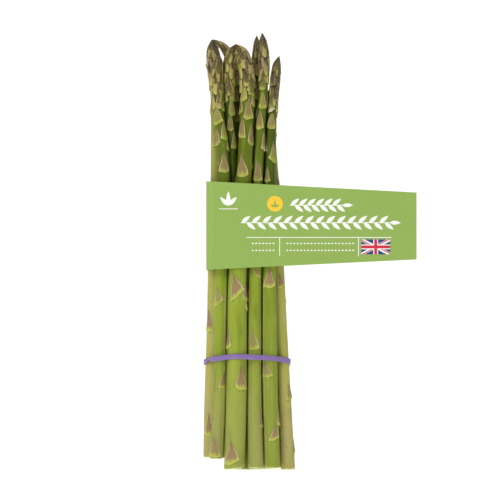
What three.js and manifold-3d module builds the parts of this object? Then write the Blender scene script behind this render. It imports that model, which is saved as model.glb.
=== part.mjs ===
// A bundle of green asparagus, standing on its cut ends: seventeen spears held by a rubber band
// low down and by a folded card wrap round the middle, whose end stands out to the right as a flag.
// Millimetres, +Z up, the front of the bundle faces -Y. The origin is the middle of the cut end of
// the spear nearest to the middle of the bundle.

import * as THREE from "three";
import { mergeVertices } from "three/addons/utils/BufferGeometryUtils.js";
import Module from "manifold-3d";

const wasm = await Module();
wasm.setup();

// Bundle
const BUNDLE_HEIGHT = 240.6;
const SPEAR_GAP = 0.85; // between the stems of neighbouring spears
const CELL_GAP = 0.36; // between the bracts of neighbouring spears
const WRAP_ROOM = 0.9; // from the stems to the inside of the wrap
const BAND_ROOM = 0.45; // and to the inside of the band

// Heights at which the stems' radii are chosen
const BAND_LEVEL = 62;
const TAPER_LEVEL = 158;

// Settling of the spears against each other
const LEVEL_STEP = 8;
const SETTLE_ROUNDS = 260;
const PUSH_ONLY_ROUNDS = 40; // the last rounds only push
const SMOOTHING = 0.3; // each round's share of spreading the pushes along a spear
const HELD_GIVE = 0.12; // how far a spear that the front shows gives way sideways
const PUSH = 0.5;
const TINY = 1e-9;

// Spears
const STEM_SIDES = 9;
const RING_STEP = 34;
const HEAD_RINGS = [2.4, 6, 13, 27]; // distances from the tip
const APEX_CUT = 0.5; // the bare tip ends this far under its scales
const HEAD_ROUNDNESS = 0.75; // 0.5 would make the head a half ellipsoid

// Bracts: the spiral of scale leaves, with s the distance from the tip
const GOLDEN_ANGLE = 137.508;
const HEAD_SPAN = 27;
const FIRST_SCALE = 4.5;
const BRACT_STEP_NEAR = 1.05;
const BRACT_STEP_GROWTH = 0.13;
const SPARSE_FROM = 64;
const SPARSE_GROWTH = 0.19;
const FRONT_ARC = 78; // a spear with chosen bracts has no others within this angle of the front
const FOOT_CLEAR = 9;
const BAND_CLEAR = 9;
const TURN_JITTER = 22; // degrees
const BRACT_LENGTH = 9;
const LENGTH_JITTER = 2;
const BRACT_WIDTH = 1.5; // as a share of the stem's radius
const ROOT_PLACE = 0.35; // where a bract's root sits between its lip and its point
const SCALE_WIDTH = 1.55; // as a share of the head's radius
const WIDEST_SCALE = 4.2;
const LONGEST_SCALE = 8.5;
const SCALE_TIP_CLEAR = 0.4;
const BRACT_LIFT = 0.75;
const LIP_LIFT = 1;
const APEX_LIFT = 0.25;
const SCALE_SIDE_LIFT = 0.68;
const SCALE_LIFT = 0.9;
const SCALE_APEX_LIFT = 1.05;
const LIP_DROP = 0.1; // how far a bract's lip hangs below its corners, as a share of its length
const LIP_FLOOR = 0.4; // a lip stays this far above the cut end
const WIDEST_HALF = 62; // degrees to each side of a bract's middle
const LIFT_STEP = 0.1;
const LIFT_TRIES = 24;
const COVER_MARGIN = 3; // the wrap's edges hold bracts down this far above and below it

// Rubber band
const BAND = { front: 61.4, back: 55.6, height: 3, thickness: 1.1 };

// Card wrap: front panel from its left fold to the flag's end
const WRAP = {
  left: -22.6,
  right: 92.6,
  meet: 44, // where the back panel meets the front panel
  thickness: 0.6,
  bottomLeft: 110.2,
  topLeft: 158.8,
  bottomRight: 115.8,
  topRight: 152.6,
  corner: 1.2, // cut off the left fold
  seam: 1.8, // the two layers become one over this length
};
const OUTER_CORNER = 1.4; // the outside of the left fold is this much larger than the inside
const HULL_STEPS = 24; // points round each spear's circle when the band or the wrap is laid round

const COLOURS = {
  green: 0x8ea944,
  pale: 0xb2ae64,
  deep: 0x6f9030,
  band: 0x846ab2,
  card: 0x9abb5f,
};
const TONES = [[0.3, "pale"], [0.65, "green"], [1, "deep"]]; // each up to its highest tone
const ROUGHNESS = { spear: 0.45, band: 0.6, card: 0.5 };

// Spears: name, tone (0 is yellow-beige, 1 is deep green), path from the floor to the tip as
// [height, x, y], radii (at the foot, the band, the top of the wrap and in the head), length over
// which the head narrows, height of the cut end, rise of the cut end towards +X, where the spiral
// of bracts starts, and the bracts in sight: height of the lip, angle from the front towards +X,
// width and length.
const FRONT = [
  ["front_1", 0.1,
   [[0, -21, -5], [35, -20.4, -4.6], [70, -19.4, -4.2], [106, -18.7, -3.6], [163, -17.4, -2.8],
    [187, -17.2, -2.6], [204, -17.3, -2.3], [220, -18.5, -1.9], [229, -19.2, -1.7], [237, -19.8, -1.6]],
   [3.75, 3.55, 3.2, 3.3], 12, 6.6, 0, 160,
   [[19, -8, 5.6, 10.5], [76.3, -32, 5, 11], [178.6, -2, 5.4, 10], [196, -52, 3.4, 7],
    [202, -30, 4, 10]]],
  ["front_2", 0.55,
   [[0, -17.9, -11.4], [17, -16.4, -10.4], [39, -15.2, -9.8], [70, -15, -9.8], [106, -14.3, -9.8],
    [162, -12.8, -9.7], [181, -14.3, -9.4], [193, -15.6, -9.1], [209, -16.9, -8.7],
    [220, -17.1, -8.4], [228.8, -15.7, -8]],
   [3.7, 3.5, 3.2, 2.5], 13, 6, 0, 100,
   [[7, -10, 7.2, 9.6], [45.4, 28, 4.8, 8], [91.3, -20, 5, 9], [164, 0, 5.8, 10.5],
    [181.7, 40, 4.8, 10], [190.6, -26, 6, 9.5], [199, 17, 4.8, 9.5]]],
  ["front_3", 0.5,
   [[0, -7.7, -12.4], [39, -6.6, -11.8], [76, -6.1, -11.3], [106, -5.9, -10.9], [160, -2.2, -10.1],
    [187, -1, -9.5], [209, -0.3, -9.1], [221, -1, -9], [226.3, -2, -8.9], [230, -3.3, -8.8],
    [234.3, -7, -8.7]],
   [5.7, 5.5, 4.2, 3.6], 14, 0, 0.12, 215,
   [[4, -17, 9, 11], [44.6, 25, 7.4, 11], [67, -62, 5.5, 10], [93.5, 62, 5.5, 9],
    [95.3, -8, 8, 12], [161.4, -15, 6.6, 12], [179.1, 42, 4.8, 12], [182.8, -36, 4.6, 11],
    [193.2, 8, 5.6, 11.5], [196.8, -60, 3.6, 8], [200.4, 60, 3.8, 9], [203.2, -30, 4.8, 10],
    [207.8, 35, 4.4, 10.5], [214, 0, 4.2, 10]]],
  ["front_4", 0.6,
   [[0, 4.6, -12], [39, 3.4, -11.6], [76, 3.4, -11.1], [106, 3.8, -10.7], [164, 5.5, -9.3],
    [181, 6.6, -8.8], [198, 7.7, -8.2], [210, 8.4, -7.6], [223, 8.9, -7], [232, 8.5, -6.5],
    [240.6, 7.8, -6]],
   [4.3, 3.65, 2.9, 2.45], 17, 0.9, 0, 20,
   [[23.5, 52, 4, 7], [66.4, -13, 6.2, 10], [107, 12, 4.6, 4], [159, -5, 5.2, 10],
    [176.9, 48, 4.4, 9.5], [187.6, -22, 4.6, 10.5], [199, 0, 4.4, 10], [210.9, -10, 3.4, 8.5]]],
  ["front_5", 0.75,
   [[0, 13.1, -10.9], [39, 12.2, -10.5], [76, 11.8, -10.1], [106, 11.8, -9.8], [164, 12.2, -8.8],
    [181, 12.7, -8.4], [193, 13, -8], [204, 13.9, -7.6], [214, 14.9, -7], [223, 15.9, -6.4],
    [227.8, 17.2, -6]],
   [4.3, 4.1, 3, 2.15], 13, 0.9, 0, 290,
   [[16.8, 22, 5.6, 8], [51.3, -22, 6, 7], [100.6, 0, 6.6, 10], [158.6, -36, 3.6, 8],
    [169.6, 36, 5, 10], [187.8, 0, 4.8, 10], [200, -34, 3.2, 9.5], [204.6, 25, 3.4, 10],
    [211.8, -8, 3.4, 9]]],
  ["front_6", 0.15,
   [[0, 22, -5.6], [39, 20.2, -5], [76, 18.3, -4.1], [106, 16.9, -3.2], [162, 13.6, -1.8],
    [190, 12.5, -1.1], [213, 13.6, -0.4]],
   [4, 3.25, 3.1, 2.5], 14, 0, 0, 330,
   [[38.7, 50, 4.8, 8], [100.6, 20, 4.2, 7], [195.8, 78, 3.2, 9]]],
];
const INNER = [
  ["inner_1", 0.8,
   [[0, -12.6, -3.6], [62, -11.5, -3.4], [108, -10.3, -3.6], [158, -8.3, -4.2], [187, -9.6, -4.5],
    [209, -10.5, -4.7], [221, -10.4, -4.8], [229, -9.4, -5], [234.1, -7.1, -5.4]],
   [3.7, 3.4, 2.9, 2.8], 11, 6.4, 0, 75,
   [[177.2, 38, 4, 10], [187, 0, 3.8, 9], [195.2, 20, 3.8, 11], [202.6, -45, 3.8, 9],
    [206.4, 0, 3.8, 10]]],
  ["inner_2", 0.8,
   [[0, -7.2, 4.7], [62, -6.6, 3.9], [108, -6, 3.4], [158, -5.3, 3.1], [190, -6.1, 3.5],
    [210, -7, 3.9], [222, -8.3, 4.5], [228.5, -10.3, 5], [233.3, -13.9, 5.7], [235, -16.3, 6],
    [237.2, -19.4, 6.3]],
   [3.9, 3.5, 2.9, 2.5], 14, 0, 0, 185,
   [[192, 0, 3.4, 8], [203, 0, 4, 10]]],
  ["inner_3", 0.8,
   [[0, 0, 0], [62, -0.5, -1.4], [108, 0.1, -2.1], [158, 1.7, -2.7], [187, 3.5, -2.6],
    [198, 4.2, -2.1], [210, 4.7, -1.5], [225, 4.9, -0.9], [239.3, 4.8, -0.5]],
   [3.9, 3.4, 2.8, 2.35], 20, 0, 0, 130,
   [[160, 0, 3.4, 12], [204.2, 12, 3.6, 9]]],
];
// Back spears: name, tone, places [x, y] at the back levels, height of the tip, radius at the foot
// and height of the cut end
const BACK_LEVELS = [0, 62, 108, 158, 190];
const BACK_TAPER = [1, 0.9, 0.78, 0.72]; // the four radii as shares of the foot's
const BACK_HEAD = 13;
const BACK_TURN = 47;
const BACK_LEAN = 0.4;
const BACK = [
  ["back_1", 0.5, [[8.8, -2.6], [8.2, -2.4], [8.2, -2.2], [8.3, -1.2], [8.4, 0.8]], 206, 3.9, 0.6],
  ["back_2", 0.5, [[4.6, 7], [3, 6.6], [2.6, 6.2], [1.6, 5.6], [0.8, 5.8]], 211, 4.1, 0],
  ["back_3", 0.8, [[13.4, 5], [11.2, 5.2], [10, 6.4], [7.2, 9], [6.4, 9.8]], 219, 3.8, 0.5],
  ["back_4", 0.2, [[-15.8, 3.4], [-14.6, 4.2], [-13.6, 4.2], [-12.2, 4.4], [-12.6, 5.2]], 212, 3.8, 6.8],
  ["back_5", 0.5, [[20.2, 3.6], [17.6, 4], [16, 4.8], [12.8, 6], [11.4, 7.4]], 200, 3.7, 0.4],
  ["back_6", 0.5, [[-8.4, 13], [-9, 12], [-8.4, 11.2], [-7.8, 10.2], [-6.8, 10.2]], 232, 4.2, 0],
  ["back_7", 0.8, [[0.6, 15], [-0.6, 13.8], [-0.7, 13], [-0.9, 12.2], [-1, 12.2]], 223, 4, 0.3],
  ["back_8", 0.2, [[10, 14], [8.3, 13.2], [7, 13.4], [5, 15], [4.2, 15.4]], 215, 4, 0],
];
const SPEARS = [
  ...[...FRONT, ...INNER].map((row) => spearFrom(row, true)),
  ...BACK.map(([name, tone, places, tip, radius, foot], i) => {
    const path = places.map(([x, y], k) => [BACK_LEVELS[k], x, y]);
    const [x, y] = places.at(-1);
    path.push([tip, x, y + BACK_LEAN]);
    const radii = BACK_TAPER.map((share) => radius * share);
    return spearFrom([name, tone, path, radii, BACK_HEAD, foot, 0, BACK_TURN * i, []], false);
  }),
];

// A spear's row by name; the middle one is pinned, because its foot is the origin
function spearFrom([name, tone, path, radii, head, foot, slant, turn, bracts], held) {
  const tip = path.at(-1)[0];
  const pinned = name === "inner_3";
  return { name, tone, path, tip, radii, head, foot, slant, turn, bracts, held, pinned };
}

const radians = (degrees) => (degrees * Math.PI) / 180;
const mix = (a, b, t) => a + (b - a) * t;
const clamp = (v, low, high) => Math.min(high, Math.max(low, v));

// A repeatable number from 0 to 1 for a whole number
const SCATTER = { turn: 12.9898, start: 4.1, spread: 43758.5453, spearStride: 97 };
function scatter(n) {
  const v = Math.sin(n * SCATTER.turn + SCATTER.start) * SCATTER.spread;
  return v - Math.floor(v);
}

// A smooth line through knots [z, value]: cubic pieces with the slope of the neighbouring knots
function smoothAt(knots, z) {
  const last = knots.length - 1;
  let i = 0;
  while (i < last - 1 && z > knots[i + 1][0]) i += 1;
  const [z0, v0] = knots[i];
  const [z1, v1] = knots[i + 1];
  const slope = (a, b) => (knots[b][1] - knots[a][1]) / (knots[b][0] - knots[a][0]);
  const span = z1 - z0;
  const m0 = slope(Math.max(i - 1, 0), i + 1) * span;
  const m1 = slope(i, Math.min(i + 2, last)) * span;
  const t = clamp((z - z0) / span, 0, 1);
  const t2 = t * t;
  const t3 = t2 * t;
  return (2 * t3 - 3 * t2 + 1) * v0 + (t3 - 2 * t2 + t) * m0 + (3 * t2 - 2 * t3) * v1 + (t3 - t2) * m1;
}

// A spear's chosen place at a height, before it settles against its neighbours
function chosenPlace(spear, z) {
  const x = smoothAt(spear.path.map((knot) => [knot[0], knot[1]]), z);
  const y = smoothAt(spear.path.map((knot) => [knot[0], knot[2]]), z);
  return { x, y };
}

// A straight-sided line through values at rising levels
function lineAt(levels, values, z) {
  const next = levels.findIndex((level) => level > z);
  if (next < 0) return values.at(-1);
  if (next === 0) return values[0];
  const t = (z - levels[next - 1]) / (levels[next] - levels[next - 1]);
  return mix(values[next - 1], values[next], t);
}

// The bare stem's radius at a height; it narrows to a point over the head
function radiusAt(spear, z) {
  const levels = [0, BAND_LEVEL, TAPER_LEVEL, spear.tip - HEAD_SPAN];
  const r = lineAt(levels, spear.radii, z);
  const left = clamp(1 - Math.max(spear.tip - z, 0) / spear.head, 0, 1);
  return r * (1 - left ** 2) ** HEAD_ROUNDNESS;
}

// How far every spear is pushed from its chosen place at every level, until the stems clear
// each other
function settle(spears) {
  const levels = Math.ceil(BUNDLE_HEIGHT / LEVEL_STEP) + 1;
  for (const spear of spears) {
    spear.levels = [];
    for (let k = 0; k < levels; k += 1) {
      const z = Math.min(k * LEVEL_STEP, spear.tip);
      spear.levels.push({ z, ...chosenPlace(spear, z), r: radiusAt(spear, z), dx: 0, dy: 0 });
      if (z === spear.tip) break;
    }
  }
  for (let round = 0; round < SETTLE_ROUNDS; round += 1) {
    for (let k = 0; k < levels; k += 1) {
      for (let i = 0; i < spears.length; i += 1) {
        for (let j = i + 1; j < spears.length; j += 1) pushApart(spears[i], spears[j], k);
      }
    }
    if (round < SETTLE_ROUNDS - PUSH_ONLY_ROUNDS) spears.forEach(spreadPushes);
  }
}

// Pushes two spears apart at one level, if they are closer than their gap
function pushApart(a, b, k) {
  const p = a.levels[k];
  const q = b.levels[k];
  if (!p || !q || Math.abs(p.z - q.z) > LEVEL_STEP / 2) return;
  const dx = q.x + q.dx - p.x - p.dx;
  const dy = q.y + q.dy - p.y - p.dy;
  const distance = Math.hypot(dx, dy) || TINY;
  const short = p.r + q.r + SPEAR_GAP - distance;
  if (short <= 0) return;
  const step = (short * PUSH) / distance;
  for (const [spear, place, way] of [[a, p, -1], [b, q, 1]]) {
    if (spear.pinned && k === 0) continue;
    place.dx += way * dx * step * (spear.held ? HELD_GIVE : 1);
    place.dy += way * dy * step;
  }
}

// Spreads the pushes a little along a spear, so that they leave no kinks
function spreadPushes(spear) {
  const before = spear.levels.map((l) => [l.dx, l.dy]);
  for (let k = 1; k < spear.levels.length - 1; k += 1) {
    const level = spear.levels[k];
    level.dx = mix(level.dx, (before[k - 1][0] + before[k + 1][0]) / 2, SMOOTHING);
    level.dy = mix(level.dy, (before[k - 1][1] + before[k + 1][1]) / 2, SMOOTHING);
  }
}

// A spear's axis as a function of height, and the distance from the tip along it
function traceAxis(spear) {
  const dx = spear.levels.map((l) => [l.z, l.dx]);
  const dy = spear.levels.map((l) => [l.z, l.dy]);
  spear.axisAt = (z) => {
    const { x, y } = chosenPlace(spear, z);
    return new THREE.Vector3(x + smoothAt(dx, z), y + smoothAt(dy, z), z);
  };
  const points = [];
  for (let z = spear.tip; z > spear.foot; z -= 1) points.push(spear.axisAt(z));
  points.push(spear.axisAt(spear.foot));
  let s = 0;
  spear.track = points.map((point, i) => {
    if (i) s += point.distanceTo(points[i - 1]);
    return { s, z: point.z };
  });
  spear.length = s;
}

// The height at a distance from the tip along the axis
function heightAtDistance(spear, s) {
  const i = spear.track.findIndex((step) => step.s >= s);
  if (i < 1) return i === 0 ? spear.tip : spear.foot;
  const a = spear.track[i - 1];
  const b = spear.track[i];
  return mix(a.z, b.z, (s - a.s) / (b.s - a.s));
}

// The distance from the tip along the axis at a height
function distanceAtHeight(spear, z) {
  const step = spear.track.find((t) => t.z <= z) ?? spear.track.at(-1);
  return step.s;
}

// A point near the axis at height z: angle from the front towards +X, out from the axis
function offAxis(spear, z, angle, out, level = false) {
  const here = spear.axisAt(z);
  const up = spear.axisAt(Math.min(z + 0.5, spear.tip)).sub(spear.axisAt(z - 0.5)).normalize();
  if (level) up.set(0, 0, 1);
  const side = new THREE.Vector3(1, 0, 0).addScaledVector(up, -up.x).normalize();
  const ahead = new THREE.Vector3().crossVectors(side, up);
  return here
    .addScaledVector(side, Math.sin(angle) * out)
    .addScaledVector(ahead, Math.cos(angle) * out);
}

// How far a point is from the surface of a spear's bare stem
function beyondStem(spear, point) {
  const z = clamp(point.z, spear.foot, spear.tip);
  const axis = spear.axisAt(z);
  const across = Math.hypot(point.x - axis.x, point.y - axis.y);
  return Math.hypot(across, point.z - z) - radiusAt(spear, z);
}

// The lift that a bract's point may have before it nears the halfway surface to a neighbour
function roomFor(spear, z, angle, lift) {
  const radius = radiusAt(spear, z);
  const covered = z > WRAP.bottomLeft - COVER_MARGIN && z < WRAP.topLeft + COVER_MARGIN;
  let allowed = covered ? Math.min(lift, WRAP_ROOM - CELL_GAP) : lift;
  for (let tries = 0; tries < LIFT_TRIES; tries += 1) {
    const point = offAxis(spear, z, angle, radius + allowed);
    const own = beyondStem(spear, point);
    const nearest = Math.min(
      ...SPEARS.filter((other) => other !== spear).map((other) => beyondStem(other, point)),
    );
    if (own + CELL_GAP <= nearest) return allowed;
    allowed -= LIFT_STEP;
  }
  return allowed;
}

// The bare stem: rings round the axis, closed by the cut end and by the tip
function stemSolid(spear) {
  const stops = [...HEAD_RINGS];
  const rest = spear.length - stops.at(-1);
  const steps = Math.round(rest / RING_STEP);
  for (let i = 1; i < steps; i += 1) stops.push(stops.at(-1) + rest / steps);
  const vertices = [];
  const tip = offAxis(spear, heightAtDistance(spear, APEX_CUT), 0, 0);
  vertices.push(...tip.toArray());
  const rings = [...stops.map((s) => heightAtDistance(spear, s)), spear.foot];
  rings.forEach((z, r) => {
    const atFoot = r === rings.length - 1;
    for (let i = 0; i < STEM_SIDES; i += 1) {
      const angle = (i / STEM_SIDES) * Math.PI * 2;
      const radius = radiusAt(spear, z);
      const point = offAxis(spear, z, angle, radius, atFoot);
      if (atFoot) point.z += spear.slant * (Math.sin(angle) + 1) * radius;
      vertices.push(...point.toArray());
    }
  });
  const end = spear.axisAt(spear.foot);
  end.z += spear.slant * radiusAt(spear, spear.foot);
  vertices.push(...end.toArray());
  const faces = [];
  const ringStart = (r) => 1 + r * STEM_SIDES;
  const last = rings.length - 1;
  const endIndex = ringStart(last) + STEM_SIDES;
  for (let i = 0; i < STEM_SIDES; i += 1) {
    const j = (i + 1) % STEM_SIDES;
    faces.push(0, ringStart(0) + i, ringStart(0) + j);
    for (let r = 0; r < last; r += 1) {
      const a = ringStart(r);
      const b = ringStart(r + 1);
      faces.push(a + i, b + i, a + j);
      faces.push(a + j, b + i, b + j);
    }
    faces.push(ringStart(last) + i, endIndex, ringStart(last) + j);
  }
  return solidFrom(vertices, faces);
}

// One bract: a blade that lies on the stem, its root on the axis, its lip a little proud
function bractSolid(spear, bract) {
  const { z, angle, width, length, lift, lip, apex } = bract;
  const top = heightAtDistance(spear, distanceAtHeight(spear, z) - length);
  const radius = radiusAt(spear, z);
  const half = Math.min(Math.asin(clamp(width / 2 / (radius + lift), 0, 1)), radians(WIDEST_HALF));
  const drop = Math.max(z - length * LIP_DROP, spear.foot + LIP_FLOOR);
  const outer = [
    [z, angle - half, lift],
    [drop, angle, lip],
    [z, angle + half, lift],
    [top, angle, apex],
  ].map(([height, turn, up]) => {
    const raised = roomFor(spear, height, turn, up);
    return offAxis(spear, height, turn, radiusAt(spear, height) + raised);
  });
  const root = spear.axisAt(mix(z, top, ROOT_PLACE));
  const vertices = [...outer, root].flatMap((p) => p.toArray());
  const [left, middle, right, point, inner] = [0, 1, 2, 3, 4];
  const faces = [
    left, middle, point, middle, right, point,
    left, inner, middle, middle, inner, right,
    left, point, inner, right, inner, point,
  ];
  return solidFrom(vertices, faces);
}

// The bracts of one spear: those in sight where they were chosen, the others along the spiral
function bractsOf(spear, index) {
  const found = spear.bracts.map(([z, degrees, width, length]) => ({
    z,
    angle: radians(degrees),
    width,
    length,
    lift: BRACT_LIFT,
    lip: LIP_LIFT,
    apex: APEX_LIFT,
  }));
  let s = FIRST_SCALE;
  for (let n = 0; s < spear.length - FOOT_CLEAR; n += 1) {
    const z = heightAtDistance(spear, s);
    const jitter = scatter(index * SCATTER.spearStride + n) - 0.5;
    const turned = spear.turn + n * GOLDEN_ANGLE + jitter * TURN_JITTER;
    const degrees = ((turned % 360) + 540) % 360 - 180;
    const inHead = s < HEAD_SPAN;
    const nearBand = Math.abs(z - (BAND.front + BAND.back) / 2) < BAND_CLEAR;
    const chosenHere = spear.bracts.length > 0 && Math.abs(degrees) < FRONT_ARC;
    const radius = radiusAt(spear, z);
    if (inHead) {
      found.push({
        z,
        angle: radians(degrees),
        width: Math.min(WIDEST_SCALE, radius * SCALE_WIDTH),
        length: Math.min(s - SCALE_TIP_CLEAR, LONGEST_SCALE),
        lift: SCALE_SIDE_LIFT,
        lip: SCALE_LIFT,
        apex: SCALE_APEX_LIFT,
      });
    } else if (!nearBand && !chosenHere) {
      found.push({
        z,
        angle: radians(degrees),
        width: radius * BRACT_WIDTH,
        length: BRACT_LENGTH + LENGTH_JITTER * jitter,
        lift: BRACT_LIFT,
        lip: LIP_LIFT,
        apex: APEX_LIFT,
      });
    }
    s += s < SPARSE_FROM
      ? BRACT_STEP_NEAR + BRACT_STEP_GROWTH * s
      : BRACT_STEP_NEAR + BRACT_STEP_GROWTH * SPARSE_FROM + SPARSE_GROWTH * (s - SPARSE_FROM);
  }
  return found;
}

// A solid from corner coordinates and the corners of each triangle
function solidFrom(vertices, faces) {
  const mesh = new wasm.Mesh({
    numProp: 3,
    vertProperties: new Float32Array(vertices),
    triVerts: new Uint32Array(faces),
  });
  return new wasm.Manifold(mesh);
}

// A three.js geometry from a solid
function geometryOf(solid) {
  const { vertProperties, triVerts, numProp } = solid.getMesh();
  const positions = [];
  for (let i = 0; i < vertProperties.length; i += numProp) {
    positions.push(vertProperties[i], vertProperties[i + 1], vertProperties[i + 2]);
  }
  const geometry = new THREE.BufferGeometry();
  geometry.setAttribute("position", new THREE.Float32BufferAttribute(positions, 3));
  geometry.setIndex([...triVerts]);
  return geometry;
}

// A named mesh with a material of its own
function makeMesh(name, geometry, colour, roughness) {
  geometry.computeVertexNormals();
  const material = new THREE.MeshStandardMaterial({ color: COLOURS[colour], roughness, metalness: 0 });
  const mesh = new THREE.Mesh(geometry, material);
  mesh.name = name;
  return mesh;
}

// One spear: its stem with every bract joined to it
function spearMesh(spear, index) {
  let solid = stemSolid(spear);
  for (const bract of bractsOf(spear, index)) solid = solid.add(bractSolid(spear, bract));
  const colour = TONES.find(([highest]) => spear.tone <= highest)[1];
  return makeMesh(`spear_${spear.name}`, geometryOf(solid), colour, ROUGHNESS.spear);
}

// The smallest line round a set of points, anticlockwise
function hullOf(points) {
  const sorted = [...points].sort((a, b) => a.x - b.x || a.y - b.y);
  const turn = (o, a, b) => (a.x - o.x) * (b.y - o.y) - (a.y - o.y) * (b.x - o.x);
  const chain = (list) => {
    const line = [];
    for (const point of list) {
      while (line.length > 1 && turn(line.at(-2), line.at(-1), point) <= TINY) line.pop();
      line.push(point);
    }
    return line.slice(0, -1);
  };
  return [...chain(sorted), ...chain(sorted.reverse())];
}

// Points round every spear at the height that heightFor gives, each with its outward direction
function roundPoints(heightFor, margin) {
  const points = [];
  for (const spear of SPEARS) {
    const z = heightFor(spear);
    const axis = spear.axisAt(z);
    const out = radiusAt(spear, z) + margin;
    for (let i = 0; i < HULL_STEPS; i += 1) {
      const angle = (i / HULL_STEPS) * Math.PI * 2;
      const way = new THREE.Vector2(Math.cos(angle), Math.sin(angle));
      points.push({ x: axis.x + way.x * out, y: axis.y + way.y * out, way });
    }
  }
  return points;
}

// The rubber band: an oblong section swept round the spears, lower at the back
function bandMesh() {
  const depths = SPEARS.map((spear) => spear.axisAt(BAND.front).y);
  const near = Math.min(...depths);
  const far = Math.max(...depths);
  const heightAt = (y) => mix(BAND.front, BAND.back, (y - near) / (far - near));
  const loop = hullOf(roundPoints((spear) => heightAt(spear.axisAt(BAND.back).y), BAND_ROOM));
  const vertices = [];
  for (const point of loop) {
    for (const [out, rise] of [[0, -0.5], [1, -0.5], [1, 0.5], [0, 0.5]]) {
      const x = point.x + point.way.x * out * BAND.thickness;
      const y = point.y + point.way.y * out * BAND.thickness;
      vertices.push(x, y, heightAt(point.y) + rise * BAND.height);
    }
  }
  const corners = 4;
  const faces = [];
  for (let i = 0; i < loop.length; i += 1) {
    const a = i * corners;
    const b = ((i + 1) % loop.length) * corners;
    for (let c = 0; c < corners; c += 1) {
      const d = (c + 1) % corners;
      faces.push(a + c, b + c, a + d);
      faces.push(a + d, b + c, b + d);
    }
  }
  return makeMesh("rubber_band", geometryOf(solidFrom(vertices, faces)), "band", ROUGHNESS.band);
}

// The card wrap: flat in front, round the left side and the back, then both layers as one flag
function wrapMesh() {
  const inside = [];
  for (let z = WRAP.bottomLeft; z < WRAP.topLeft; z += LEVEL_STEP / 2) {
    inside.push(...roundPoints(() => z, WRAP_ROOM));
  }
  const front = Math.min(...inside.map((p) => p.y));
  const outerCorner = WRAP.corner * OUTER_CORNER;
  const flat = (x, y) => ({ x, y });
  const hole = hullOf([
    ...inside,
    flat(WRAP.left + WRAP.thickness, front + WRAP.corner),
    flat(WRAP.left + WRAP.thickness + WRAP.corner, front),
    flat(WRAP.meet, front),
  ]);
  const outside = inside.map((p) => flat(
    p.x + p.way.x * WRAP.thickness,
    p.y + p.way.y * WRAP.thickness,
  ));
  const rim = hullOf([
    ...outside,
    flat(WRAP.left, front - WRAP.thickness + outerCorner),
    flat(WRAP.left + outerCorner, front - WRAP.thickness),
    flat(WRAP.meet + WRAP.seam, front),
    flat(WRAP.meet + WRAP.seam, front - WRAP.thickness),
  ]);
  const meetAt = rim.findIndex((p) => p.x > WRAP.meet && p.y < front - WRAP.thickness / 2);
  const outline = [
    ...rim.slice(0, meetAt + 1),
    flat(WRAP.right, front - WRAP.thickness),
    flat(WRAP.right, front),
    ...rim.slice(meetAt + 1),
  ];
  const shape = new THREE.Shape(outline.map((p) => new THREE.Vector2(p.x, p.y)));
  shape.holes.push(new THREE.Path(hole.map((p) => new THREE.Vector2(p.x, p.y))));
  const geometry = new THREE.ExtrudeGeometry(shape, { depth: 1, bevelEnabled: false });
  const position = geometry.getAttribute("position");
  for (let i = 0; i < position.count; i += 1) {
    const along = (position.getX(i) - WRAP.left) / (WRAP.right - WRAP.left);
    const bottom = mix(WRAP.bottomLeft, WRAP.bottomRight, along);
    const top = mix(WRAP.topLeft, WRAP.topRight, along);
    position.setZ(i, mix(bottom, top, position.getZ(i)));
  }
  geometry.deleteAttribute("normal");
  geometry.deleteAttribute("uv");
  return makeMesh("card_wrap", mergeVertices(geometry), "card", ROUGHNESS.card);
}

settle(SPEARS);
SPEARS.forEach(traceAxis);

const bundle = new THREE.Group();
SPEARS.forEach((spear, index) => bundle.add(spearMesh(spear, index)));
bundle.add(bandMesh());
bundle.add(wrapMesh());

export default bundle;
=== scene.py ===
import math

import bpy
import numpy as np
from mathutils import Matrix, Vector


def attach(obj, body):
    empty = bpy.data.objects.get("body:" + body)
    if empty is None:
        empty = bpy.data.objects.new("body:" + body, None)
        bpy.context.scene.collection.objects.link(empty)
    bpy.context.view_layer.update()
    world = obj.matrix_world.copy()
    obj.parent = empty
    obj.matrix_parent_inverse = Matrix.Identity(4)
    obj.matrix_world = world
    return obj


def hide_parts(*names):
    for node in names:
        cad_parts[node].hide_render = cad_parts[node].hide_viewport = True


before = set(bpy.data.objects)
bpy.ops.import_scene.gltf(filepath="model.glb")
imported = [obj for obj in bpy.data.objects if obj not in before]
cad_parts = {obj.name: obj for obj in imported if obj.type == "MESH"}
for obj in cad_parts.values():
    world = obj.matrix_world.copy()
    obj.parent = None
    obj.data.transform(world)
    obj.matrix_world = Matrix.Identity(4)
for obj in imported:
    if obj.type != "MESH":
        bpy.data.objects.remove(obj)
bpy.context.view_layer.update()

# Everything below is worked out in millimetres, as in the part, and turned into metres when a
# mesh is made. The front of the bundle faces -Y.
MM = 0.001

# Bundle, with the part's own values
BUNDLE_HEIGHT = 240.6
SPEAR_GAP = 0.85
BAND_LEVEL = 62
TAPER_LEVEL = 158
LEVEL_STEP = 8
SETTLE_ROUNDS = 260
PUSH_ONLY_ROUNDS = 40
SMOOTHING = 0.3
HELD_GIVE = 0.12
PUSH = 0.5
HEAD_SPAN = 27
HEAD_ROUNDNESS = 0.75
BAND = {"front": 61.4, "back": 55.6, "height": 2.8, "thickness": 1.0, "room": 0.1}
WRAP = {
    "left": -22.6, "right": 92.6, "meet": 44, "depth": 0.6, "room": 0.8, "card": 0.28,
    "bottom_left": 110.2, "top_left": 158.8, "bottom_right": 115.8, "top_right": 152.6,
    "corner": 1.7, "curl": 0.8, "curl_from": 30, "front_room": 0.9,
}

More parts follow.
